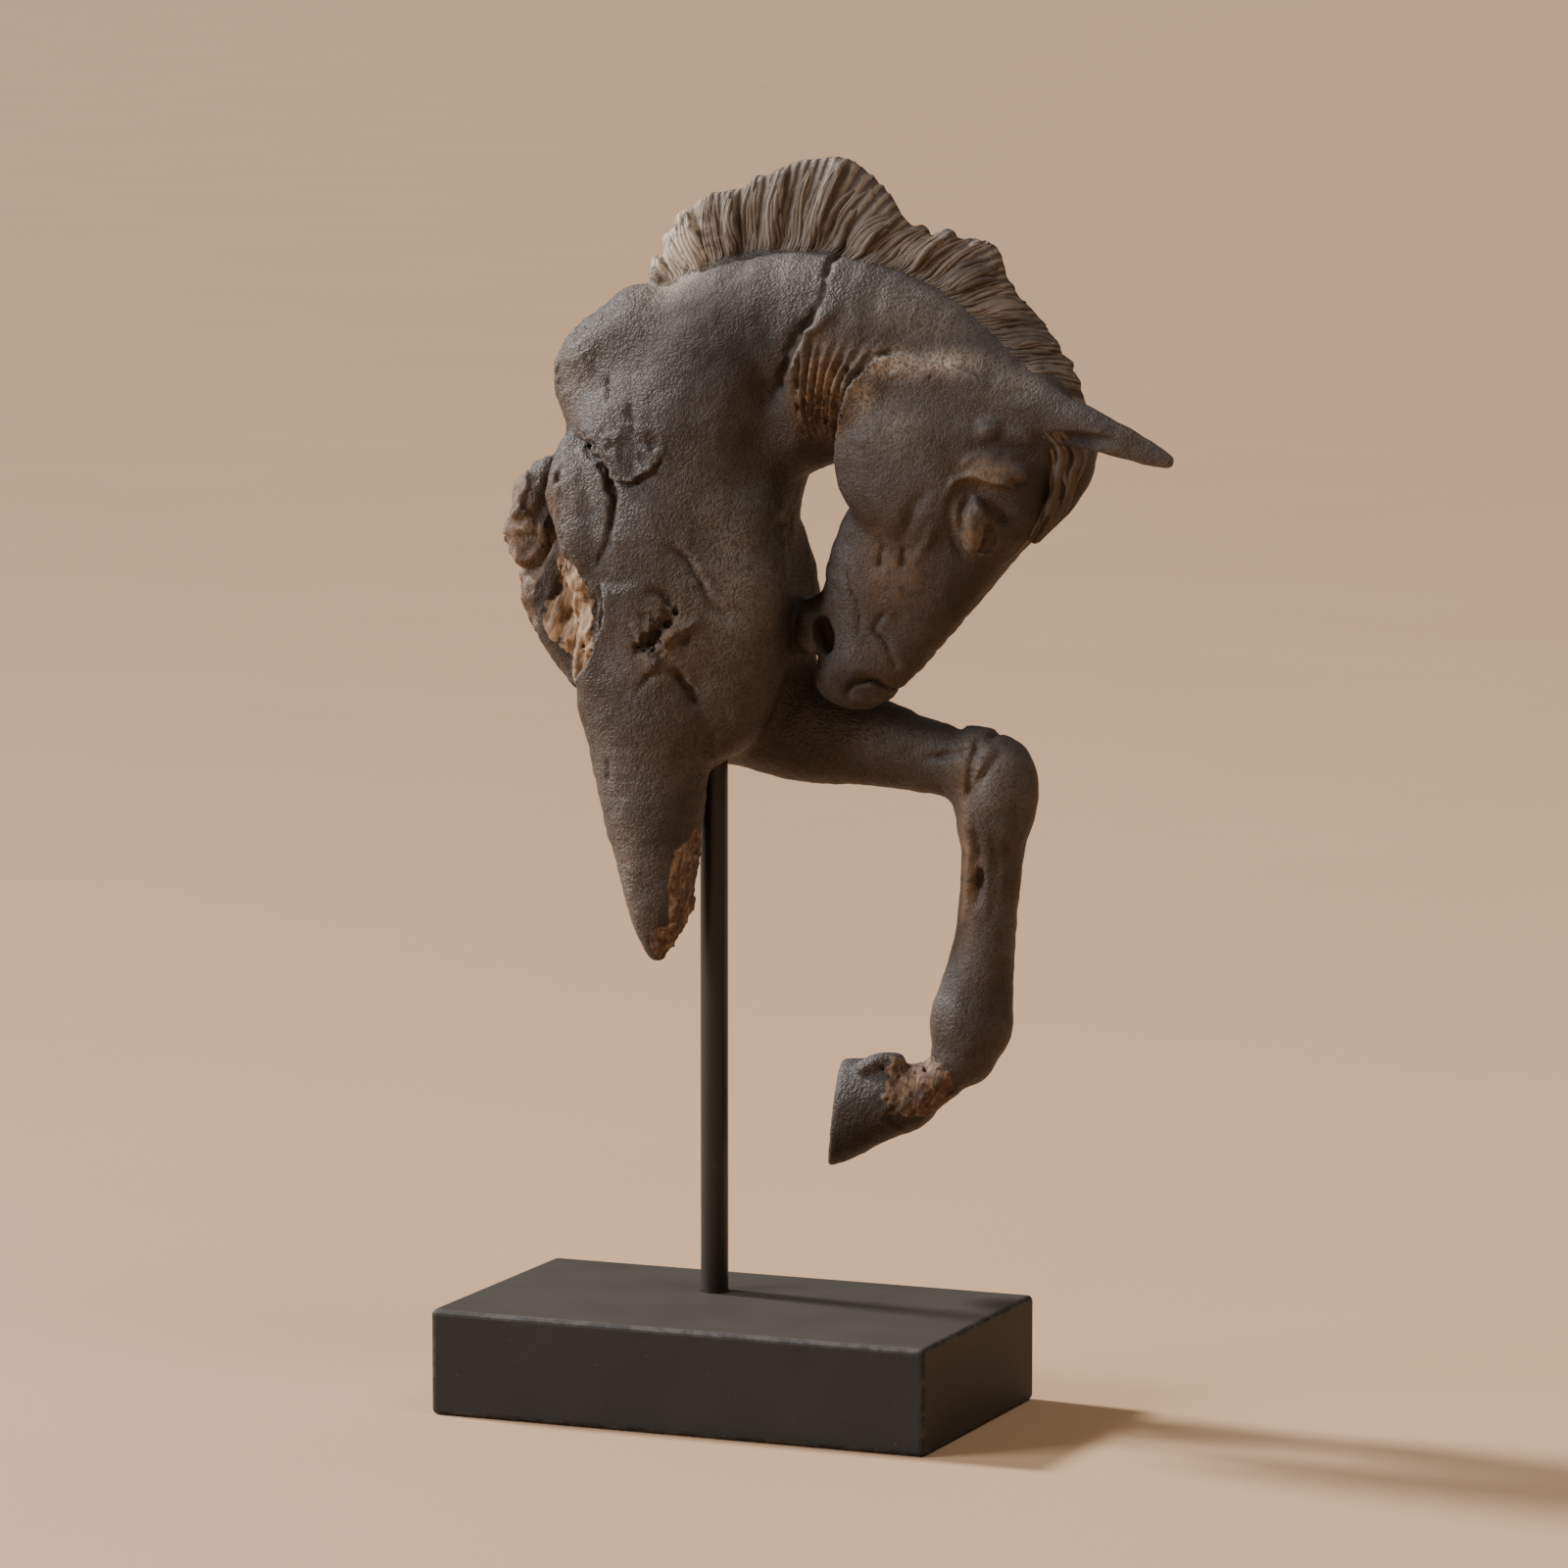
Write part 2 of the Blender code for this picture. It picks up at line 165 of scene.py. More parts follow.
# Swellings: centre, three half sizes, turn about Y in degrees, blend and side. On both sides, y
# is the distance from the mid-plane.
SWELLINGS = [
    ((67.5, 12, 343), (29.5, 13, 30), 0, 3, BOTH),
    ((93.5, 18.6, 322), (4.6, 5.0, 10), -6, 1.0, BOTH),
    ((100, 17.5, 341.5), (13, 5.0, 5.4), -8, 2.5, BOTH),
    ((98.5, 18, 355.5), (4.6, 3.4, 3.2), 20, 3, BOTH),
    ((109, 16, 353.5), (5.5, 3.2, 2.8), 0, 3, BOTH),
    ((28, -9, 281), (6, 4, 8), 10, 2, NEAR),
]
# Hollows, in the same way
HOLLOWS = [
    ((33, 9, 280), (3.4, 5.5, 6.5), 12, 2, BOTH),
    ((131, -18.5, 352.8), (15, 4.5, 3.2), -1, 1.2, NEAR),
    ((103.5, 19, 322), (4.5, 3.4, 8), 8, 4, BOTH),
    ((84, 9, 193), (1.6, 3.2, 4.6), -8, 1, NEAR),
    ((-14.5, -41, 288), (1.5, 2.4, 3.2), 25, 2, NEAR),
    ((-22.5, -41, 278.5), (4.4, 4.4, 2.2), 40, 2, NEAR),
    ((19, -29, 365), (3.4, 6, 3.4), 0, 2, NEAR),
    ((-93, 14, 322), (9, 13, 10), 0, 4, BOTH),
    ((-92, 4, 299), (10, 9, 13), 14, 4, BOTH),
    ((-86, 16, 283), (10, 10, 8), 0, 4, BOTH),
    ((-80, 6, 342), (9, 9, 6), 30, 3, BOTH),
    ((15, -31, 352), (8, 10, 24), -6, 9, NEAR),
    ((-47, -34, 348.0), (6, 4, 1.6), 12, 1, NEAR),
]

# Carved lines of the near side, seen from the side: half width, height and path. A groove's height is
# less than nought.
NEAR_LINES = [
    # the crack from the crest down the neck, and the sinew beside it
    (1.2, -3.6, [(39, 419), (37, 415), (36, 410), (37, 406)]),
    (0.9, -1.2, [(37, 408), (37, 402), (35, 396), (32, 391)]),
    (1.5, -3.1, [(36, 397), (32, 391), (27, 384), (25, 378), (22, 371), (18, 364)]),
    (2.0, 1.9, [(43, 400), (38, 393), (32, 386), (29, 379), (27, 372), (26, 364)]),
    # breast and shoulder
    (1.4, -1.6, [(-17, 315), (-10, 310), (-6, 304), (-3, 298), (2, 291), (11, 283)]),
    (2.2, 0.8, [(-13, 316), (-7, 311), (-3, 305), (1, 298), (7, 291)]),
    (1.4, -1.6, [(-12, 271), (-9, 262), (-8, 253)]),
    (1.2, -1.2, [(-33, 360), (-31, 354)]),
    (1.0, -1.1, [(-40, 236), (-39, 227)]),
    (1.3, -1.2, [(21, 336), (18, 325), (17, 315), (19, 304), (23, 293)]),
    (1.2, -1.0, [(24, 331), (21, 319), (21, 310), (24, 301), (28, 294)]),
    # torn skin on the breast
    (1.5, -2.5, [(-24, 296.5), (-17, 295.5), (-13, 290), (-15, 285), (-20, 281), (-25, 276), (-27, 270)]),
    (1.7, 2.0, [(-16, 280), (-9, 283), (-2, 286.5)]),
    (1.8, 1.8, [(-25, 267), (-18, 271), (-14, 278)]),
    (1.0, -1.3, [(-27, 257), (-23, 264.5), (-17, 268), (-11, 266.5), (-8, 259), (-3, 250)]),
    (1.4, -1.3, [(-2, 248), (-5, 242), (-8, 236)]),
    (1.1, -1.1, [(-33, 363), (-31, 358.5), (-29.5, 354)]),
    (1.0, -1.4, [(-45, 370), (-42.5, 366), (-42, 362)]),
    # barrel and flap
    (1.9, -3.6, [(-67, 336), (-67.5, 328), (-67.5, 318), (-69.5, 310), (-74, 303), (-82, 293)]),
    (1.3, -3.6, [(-60, 349), (-52, 347), (-45, 342.5), (-40, 338), (-38, 333), (-36, 327), (-36, 319),
                 (-39, 310), (-43, 302)]),
    (1.2, 1.4, [(-88, 308), (-82, 304), (-77, 305), (-74, 311)]),
    (1.2, -1.4, [(-88, 304), (-82, 300.5), (-76, 301)]),
    (1.2, -1.4, [(-86, 318), (-79, 317), (-73, 322)]),
    (1.2, -2.2, [(-46, 300), (-50, 288), (-55, 280), (-62, 268)]),
    (1.0, -2.0, [(-42, 296), (-45, 283), (-51, 272)]),
    (1.0, -1.8, [(-52, 298), (-58, 289), (-67, 280)]),
    (1.0, -1.6, [(-60, 308), (-64, 297), (-70, 286)]),
]
# Lines that leg and head carry on both sides, in the same way
LEG_LINES = [
    (1.6, -1.5, [(52, 251), (66, 247.5), (78, 244)]),
    (1.3, -1.5, [(62, 235), (74, 237.5), (82, 239)]),
    (1.2, -2.0, [(83.5, 244), (82, 232), (80, 219)]),
    (1.1, -1.6, [(93, 240), (87, 231), (80.5, 223)]),
    (2.2, 1.2, [(90, 243), (86.5, 236), (84.5, 228)]),
    (1.5, -1.2, [(86, 245), (88, 243)]),
    (1.8, 1.6, [(79, 219), (81, 206), (79.5, 192), (77, 174)]),
    (1.2, -1.0, [(84, 216), (84.5, 205), (84, 197)]),
    (1.2, -1.9, [(84.5, 198), (84, 190), (83, 182)]),
    (1.6, -0.7, [(90, 212), (90.5, 198), (88.5, 176)]),
]
HEAD_LINES = [
    (1.0, 1.1, [(90, 334), (87.5, 328), (87, 321), (88.5, 315), (92, 311.5)]),
    (1.0, 1.5, [(90.5, 334), (95, 330), (98.5, 324), (100, 317), (97.5, 312), (93, 311), (89.5, 314)]),
    (0.9, -0.8, [(91, 330), (90, 322), (92, 316.5), (95.5, 316), (96.5, 320), (95.5, 325)]),
    (1.0, -0.8, [(86, 333), (84.0, 326), (85, 315), (90, 307)]),
    (1.2, 1.8, [(81, 327), (84.5, 334), (88, 338.5), (94, 339.5), (100, 337.5), (105, 337), (108.5, 335),
                (112, 336), (116, 340)]),
    (1.3, -0.9, [(91, 336), (96, 335), (102, 333.5), (108, 332)]),
    (1.1, 1.0, [(87, 341), (94, 346.5), (103, 347), (113, 347.5)]),
    (1.2, -1.2, [(97, 331), (101, 327), (103, 321)]),
    (2.4, -1.6, [(80, 336), (74, 330), (69, 322), (63, 314)]),
    (1.1, -1.8, [(59, 315), (57, 310), (56, 305)]),
    (1.1, -1.6, [(66, 314), (65, 305)]),
    (1.8, 1.2, [(80, 325), (75, 315), (67, 305)]),
    (1.0, -1.2, [(44, 311), (44, 299), (47, 291), (47, 285), (46, 279)]),
    (1.0, -1.4, [(60, 291), (55.5, 287), (53, 283), (57, 279), (59, 273), (60, 267)]),
    (1.2, -2.8, [(41, 257.5), (44, 262.5), (49, 265), (54, 263.5), (58.5, 259)]),
    (1.5, 1.3, [(43, 256.5), (49, 258.5), (56, 256.5)]),
    (1.3, 0.8, [(43, 268), (49, 269.5), (56, 267.5)]),
    (1.0, -2.0, [(121, 351), (119.5, 343), (116, 331), (110, 318), (100, 308)]),
]
# Lips: side, height, reach, path. What lies to the left of the path stands proud of what lies to
# its right, and falls away over the reach.
LIPS = [
    (BOTH, 2.6, 13, [(70, 382), (58, 379.5), (51, 373), (46, 366), (42.5, 358), (40, 348), (38.5, 338)]),
    (NEAR, 0.9, 7, [(100, 371), (88, 376), (78, 380), (64, 381)]),
    (NEAR, 2.4, 9, [(-57, 352), (-50, 350.5), (-45, 348), (-42, 343), (-36.5, 336.5), (-29, 335), (-22, 339),
                    (-19, 345)]),
    (NEAR, 3.0, 11, [(-40, 299), (-39, 293), (-39.5, 285), (-44, 278), (-47, 270), (-55, 262)]),
    (BOTH, 1.1, 7, [(56, 98), (49, 104), (53, 111), (50, 119), (43, 124)]),
]
# The throat's folds fan out between two curves. They die away where they crowd closer than the pitch.
FOLDS = 6
FOLD_DEPTH = 2.3
FOLD_PITCH = 2.6
WIDEST_FAN = 60
FIRST_FOLD = [(31, 391), (30, 380), (29, 371), (28.5, 362), (29.5, 353), (33, 344)]
LAST_FOLD = [(63, 390), (54, 379), (48, 371), (44.5, 362), (42, 354), (40, 344)]

# Patches of broken skin: centre and reach, roughness, size of the chips, how they stretch along
# the grain, the grain's lean in degrees, how raw the resin is, and how rusty
BROKEN = [
    ((-84, 8, 312), (20, 56, 38), 2.6, 10, 1.4, 0, 0.48, 0.50),
    ((-90, 14, 305), (14, 20, 26), 1.8, 5, 2.4, 14, 0.85, 0.30),
    ((-59, -22, 321), (8, 24, 24), 1.7, 6, 2.4, 12, 0.42, 0.85),
    ((-56, -27, 284), (15, 20, 24), 2.3, 5.0, 3.2, 22, 1.00, 0.12),
    ((-13, -24, 187), (7.5, 18, 25), 1.8, 4.5, 1.7, 8, 0.95, 0.85),
    ((-20, -20, 168), (9, 26, 9), 2.2, 5, 1.3, 0, 0.75, 1.0),
    ((61, 12, 117.5), (15, 16, 13), 1.7, 4.2, 1.3, 30, 0.85, 1.0),
    ((-60, -8, 374), (14, 20, 24), 0.8, 4, 1.2, 30, 0.0, 0.0),
    ((-45, -8, 391), (13, 20, 6), 1.1, 3.5, 1.4, 60, 0.0, 0.0),
    ((-18, -40, 280), (12, 14, 13), 1.9, 5.0, 1.2, -20, 0.0, 0.0),
    ((-33, -35, 346), (15, 14, 11), 0.9, 4.2, 1.2, -30, 0.0, 0.0),
    ((62, -24, 377), (22, 14, 6), 0.7, 2.8, 1.3, 40, 0.0, 0.0),
    ((-62, -16, 243), (8, 20, 28), 0.9, 4.0, 1.5, 20, 0.0, 0.0),
]
# Tints that lie on whole skin, by attribute: centre, reach and strength. Shade is a dark tint: painted shade,
# and darker tone in places.
TINTS = {
    "warm": [
        ((37, -24, 368), (12, 18, 22), 1.0), ((98, -20, 341), (15, 16, 10), 0.55),
        ((93, -19, 320), (9, 10, 13), 0.6), ((62, -12, 304), (18, 20, 24), 0.5),
        ((50, -14, 266), (15, 16, 13), 0.3), ((-16, -40, 279), (16, 14, 17), 0.45),
        ((79, 8, 200), (6, 16, 40), 0.7),
    ],
    # Worn is pale rubbed resin, as on the cheek's rim and the mane's end, and also painted light that
    # brightens the withers, breast, neck, poll, cheek and ear
    "worn_and_lit": [
        ((63, -22, 378), (18, 20, 7), 1.0), ((82, -22, 379), (18, 18, 6), 0.8),
        ((52, -22, 368), (7, 18, 13), 0.6), ((-27, -3, 416), (17, 26, 24), 1.7),
        ((-60, -12, 372), (14, 30, 22), 0.22), ((-54, -30, 328), (12, 12, 18), 0.22),
        ((2, -30, 298), (30, 20, 52), 0.19), ((88, 8, 232), (18, 20, 22), 0.18),
        ((85, 12, 190), (14, 24, 40), 0.07), ((50, 14, 243), (30, 24, 12), 0.11),
        ((-33, -20, 200), (9, 24, 40), 0.36), ((-25, -25, 240), (24, 20, 26), 0.15),
        ((-86, 0, 314), (16, 40, 30), 0.55), ((74, -24, 398), (32, 20, 18), 0.26),
        ((24, -20, 413), (24, 20, 10), 0.22), ((112, -22, 376), (20, 18, 12), 0.28),
        ((66, -27, 357), (18, 14, 16), 0.20), ((148, -14, 352), (22, 14, 8), 0.08),
    ],
    # Shade is painted shade: it darkens the neck and withers, the hollows under the ear, beside the chin and
    # in the torn breast, the barrel's lower side and the mane's right side. On the face, muzzle, forelock and
    # hoof it darkens their tone.
    "shade": [
        ((-2, -26, 387), (42, 30, 34), 1.0), ((-74, -22, 284), (8, 20, 13), 0.6),
        ((30, 18, 106), (30, 24, 24), 0.4), ((94, -4, 410), (26, 24, 16), 1.0),
        ((112, -4, 392), (18, 22, 20), 1.0), ((60, -4, 424), (24, 20, 12), 0.35),
        ((-2, -4, 428), (12, 20, 12), 0.35), ((18, -30, 358), (10, 16, 24), 0.9),
        ((31, -16, 345), (10, 16, 12), 0.8), ((130, -17, 352), (22, 12, 6), 1.0),
        ((115, -12, 350), (12, 12, 12), 0.8), ((72, -10, 296), (36, 26, 50), 0.5),
        ((104, -18, 349), (16, 14, 10), 0.8), ((45, -10, 264), (18, 20, 14), 1.0),
        ((118, 0, 328), (26, 40, 38), 1.0), ((-19, -40, 284), (7, 10, 9), 0.7),
        ((-12, -36, 278), (18, 14, 20), 0.35), ((-72, -26, 306), (5, 16, 26), 0.5),
        ((20, -12, 284), (14, 16, 14), 0.8),
    ],
}

# The mane. A guide is its root's x and z and its tip's x and z.
MANE_GUIDES = [
    (-33, 403, -35, 411), (-24, 408, -32, 420), (-19, 411, -26, 429), (-11, 414, -14, 436),
    (-5, 417, -6, 436), (2, 418, 4, 443), (10, 419, 14, 446), (18, 419, 25, 449), (25, 419, 37, 449),
    (34, 418, 49, 438), (43, 415, 57, 428), (53, 413, 68, 424), (62, 411, 79, 423.5),
    (70, 408, 91, 421), (77, 404.5, 98, 412.5), (83, 400.5, 103.5, 404.5), (88.5, 396, 109, 396.5),
    (94.5, 391, 114.5, 389.5), (101, 385.5, 121, 383), (107, 380, 125.5, 376), (113, 375, 128.5, 369.5),
]
MANE_CREST = [
    (-29, 0, 402, 6, 5.5), (-25, 0, 405, 12, 5.5), (-20, 0, 409, 18, 5.5), (-12, 0, 413, 21.5, 5),
    (-5, 0, 415.5, 22, 5), (2, 0, 417, 21.5, 5), (10, 0, 418.5, 25, 5), (17, 0, 419, 28.5, 5),
    (24, 0, 419, 30, 5), (34, 0, 418, 31, 5), (42, 0, 416.5, 26, 5), (50, 0, 413, 19.5, 5),
    (58, 0, 409.5, 16.5, 5), (66, 0, 406, 18, 5), (73, 0, 402.5, 22, 5), (79, 0, 399, 26, 5),
    (84, 0, 395, 22, 5), (90, 0, 390.5, 17.5, 5), (97, 0, 384, 17, 5), (103, 0, 378, 16, 5),
    (110, 0, 371, 14, 5), (117, 0, 365, 11.5, 5), (123, 0, 359, 6, 5),
]
# Low and high corner of a box round the mane
MANE_BOX = (-40, 5, 350), (140, 25, 460)
# The clay's crest is lower and thinner than these stations, so that the strands have room
MANE_CREST_INSET = 0.9
MANE_CREST_THINNING = 1.4
MANE_CREST_STEPS = 80
# Each guide carries a lock that sways to its own side. Its width is a share of the gap between the
# guides, its length a share of the guide. The first locks are the long ones.
LOCK_SWAY = 1.2
LOCK_WIDTH = 0.44
LOCK_LENGTH = 0.84
LOW_LOCK_LENGTH = 0.7
LONG_LOCKS = 13
# Steps between two guides when the comb's place is worked out
COMB_STEPS = 12

# The raised hoof's stations. Its sole goes through a point, leans and turns about Z.
HOOF = [
    (52, 20, 110.5, 12.3, 12), (46, 20, 110, 13.8, 13.5), (36, 20, 107.5, 16.3, 15),
    (25, 20, 104.5, 18.5, 16.5), (14, 20, 102, 20, 17.5),
]
SOLE_AT = (22.6, 35, 86)
SOLE_LEAN = 7.5
SOLE_TURN = 17
SOLE_BLEND = 2
HOOF_BLEND = 2.5
HOOF_MARGIN = 22


# --- The clay: a field of distances, less than nought inside ---------------------------------

def through(stations, count):
    """Points on a smooth curve through the stations, spaced evenly by station."""
    given = np.asarray(stations, float)
    if len(given) == 2:
        share = np.linspace(0, 1, count)[:, None]
        return given[0] * (1 - share) + given[1] * share
    padded = np.vstack([2 * given[0] - given[1], given, 2 * given[-1] - given[-2]])
    place = np.linspace(0, len(given) - 1, count)
    first = np.minimum(place.astype(int), len(given) - 2)
    t = (place - first)[:, None]
    before, start, end, after = (padded[first + i] for i in range(4))
    return 0.5 * (
        2 * start
        + (end - before) * t
        + (2 * before - 5 * start + 4 * end - after) * t**2
        + (3 * start - before - 3 * end + after) * t**3
    )


def between(rows, at):
    """The row at a place that may lie between two rows."""
    low = min(int(at), len(rows) - 2)
    return rows[low] + (rows[low + 1] - rows[low]) * (at - low)


def placed(rows):
    """Rows as an array, with y moved from the mid-plane to the world's origin."""
    moved = np.array(rows, float)
    moved[:, 1] += MIDPLANE
    return moved


def unit(vector):
    return vector / max(np.linalg.norm(vector), 1e-9)


def smoothly(value, low, high):
    """0 below low, 1 above high, with an eased step between."""
    t = np.clip((value - low) / (high - low), 0, 1)
    return t * t * (3 - 2 * t)


def melt(a, b, blend):
    """The union of two fields, with a fillet of about the blend."""
    if blend <= 0:
        return np.minimum(a, b)
    near = np.maximum(blend - np.abs(a - b), 0) / blend
    return np.minimum(a, b) - near * near * blend / 4


def limb_distance(points, stations, squareness=2.0, steps=LIMB_STEPS):
    """Distance to a limb of elliptic section, each with its half height and half width."""
    rows = through(stations, steps)
    spine, halves = rows[:, :3], np.maximum(rows[:, 3:5], 0.3)
    nearest = np.full(len(points), FAR_OUTSIDE * 4, np.float32)
    for i in range(len(spine) - 1):
        span = spine[i + 1] - spine[i]
        length = np.linalg.norm(span)
        along = span / length
        across = unit(np.array([0.0, 1.0, 0.0]) - along[1] * along)
        upward = np.cross(along, across)
        offset = points - spine[i]
        run = offset @ along
        share = np.clip(run / length, 0, 1)
        past_end = run - share * length
        height = halves[i, 0] + (halves[i + 1, 0] - halves[i, 0]) * share
        width = halves[i, 1] + (halves[i + 1, 1] - halves[i, 1]) * share
        least = np.minimum(height, width)
        up, side = np.abs(offset @ upward), np.abs(offset @ across)
        ratio = np.sqrt((up / height) ** 2 + (side / width) ** 2 + (past_end / least) ** 2)
        slope = np.sqrt((up / height**2) ** 2 + (side / width**2) ** 2 + (past_end / least**2) ** 2) + 1e-9
        level = ratio
        if squareness != 2:
            level = (
                (up / height) ** squareness + (side / width) ** squareness
                + (np.abs(past_end) / least) ** squareness
            ) ** (1 / squareness)
        nearest = np.minimum(nearest, (ratio * (level - 1) / slope).astype(np.float32))
    return nearest


def egg_distance(points, centre, halves, turn):
    """Distance to an ellipsoid turned about Y by degrees."""
    offset = points - centre
    angle = math.radians(turn)
    x = offset[:, 0] * math.cos(angle) + offset[:, 2] * math.sin(angle)
    z = offset[:, 2] * math.cos(angle) - offset[:, 0] * math.sin(angle)
    parts = np.stack([x, offset[:, 1], z], 1)
    ratio = np.linalg.norm(parts / halves, axis=1)
    slope = np.linalg.norm(parts / np.square(halves), axis=1) + 1e-9
    return ratio * (ratio - 1) / slope


def path_distance(points, path, drift):
    """Distance in the side view to a curve, the share of its length there, and the side of it.
    The drift moves each point in x and z first."""
    curve = through(path, PATH_STEPS * (len(path) - 1) + 1)
    flat = points[:, [0, 2]] + drift
    best = np.full(len(points), 1e9)
    share, left = np.zeros(len(points)), np.zeros(len(points))
    for i in range(len(curve) - 1):
        span = curve[i + 1] - curve[i]
        offset = flat - curve[i]
        t = np.clip(offset @ span / (span @ span), 0, 1)
        away = offset - t[:, None] * span
        gap = np.hypot(away[:, 0], away[:, 1])
        closer = gap < best
        best[closer] = gap[closer]
        share[closer] = (i + t[closer]) / (len(curve) - 1)
        turn = span[0] * offset[:, 1] - span[1] * offset[:, 0]
        left[closer] = np.sign(turn[closer])
    return best, share, left


# The corners of a unit cell, as steps along x, y and z
CORNERS = [np.array(steps) for steps in itertools.product((0, 1), repeat=3)]


def at_corner(values, steps):
    """The values at this corner of each cell of a grid. None takes the whole of an axis."""
    return values[tuple(
        slice(None) if step is None else slice(step, size - 1 + step)
        for step, size in zip(steps, values.shape)
    )]


# Large odd numbers that scramble a cell's place, the seed and what comes of them
SCRAMBLE = (73856093, 19349663, 83492791)
SEED_SCRAMBLE = 39916801
LAST_SCRAMBLE = 1274126177


def lattice(cells, seed):
    """A number from 0 to 1 for each whole-numbered cell."""
    mixed = seed * SEED_SCRAMBLE
    for axis in range(3):
        mixed = mixed ^ cells[..., axis] * SCRAMBLE[axis]
    mixed = (mixed ^ (mixed >> 13)) * LAST_SCRAMBLE
    mixed = mixed ^ (mixed >> 16)
    return (mixed & 0xFFFF) / 0xFFFF


def wander(points, size, seed):
    """Smooth noise from -1 to 1 over features of this size."""
    place = points / size + 1000.0
    cell = np.floor(place).astype(np.int64)
    t = smoothly(place - cell, 0, 1)
    total = np.zeros(len(points))
    for corner in CORNERS:
        step = corner[::-1]  # x changes first
        weight = np.prod(np.where(step, t, 1 - t), axis=1)
        total += weight * lattice(cell + step, seed)
    return 2 * total - 1


def chips(points, size, grain, seed):
    """Flat chips with ledges between them: a height from -1 to 1 for each point.
    The grain is how far the chips stretch, and their lean from upright in degrees."""
    stretch, lean = grain[0], math.radians(grain[1])
    along = points[:, 2] * math.cos(lean) + points[:, 0] * math.sin(lean)
    across = points[:, 0] * math.cos(lean) - points[:, 2] * math.sin(lean)
    place = np.stack([across, points[:, 1], along / stretch], 1) / size + 1000.0
    cell = np.floor(place).astype(np.int64)
    nearest = np.full(len(points), FAR_OUTSIDE)
    second = np.full(len(points), FAR_OUTSIDE)
    height = np.zeros(len(points))
    for steps in itertools.product((-1, 0, 1), repeat=3):
        other = cell + np.array(steps)
        offset = np.stack([lattice(other, seed + axis) for axis in range(3)], 1)
        gap = np.linalg.norm(other + offset - place, axis=1)
        closer = gap < nearest
        second = np.where(closer, nearest, np.minimum(second, gap))
        height = np.where(closer, lattice(other, seed + 7), height)
        nearest = np.where(closer, gap, nearest)
    return (2 * height - 1) * smoothly(second - nearest, 0, 0.12)


def crookedness(points):
    """How carved lines stray in x and z, and how strong they are."""
    stray = [wander(points, 6, 21 + axis) + 0.6 * wander(points, 2.4, 23 + axis) for axis in range(2)]
    return np.stack([*stray, 0.85 + 0.45 * wander(points, 5, 26)], 1)


def tapered(share, fade):
    """1 along a path and 0 past its ends, with an eased step over this share of it at each."""
    return smoothly(share, -0.02, fade) * smoothly(1 - share, -0.02, fade)


def side_weight(points, side):
    """How much a point belongs to a side of the mid-plane."""
    if side == BOTH:
        return np.ones(len(points))
    return smoothly(side * (points[:, 1] - MIDPLANE), -1, 3)


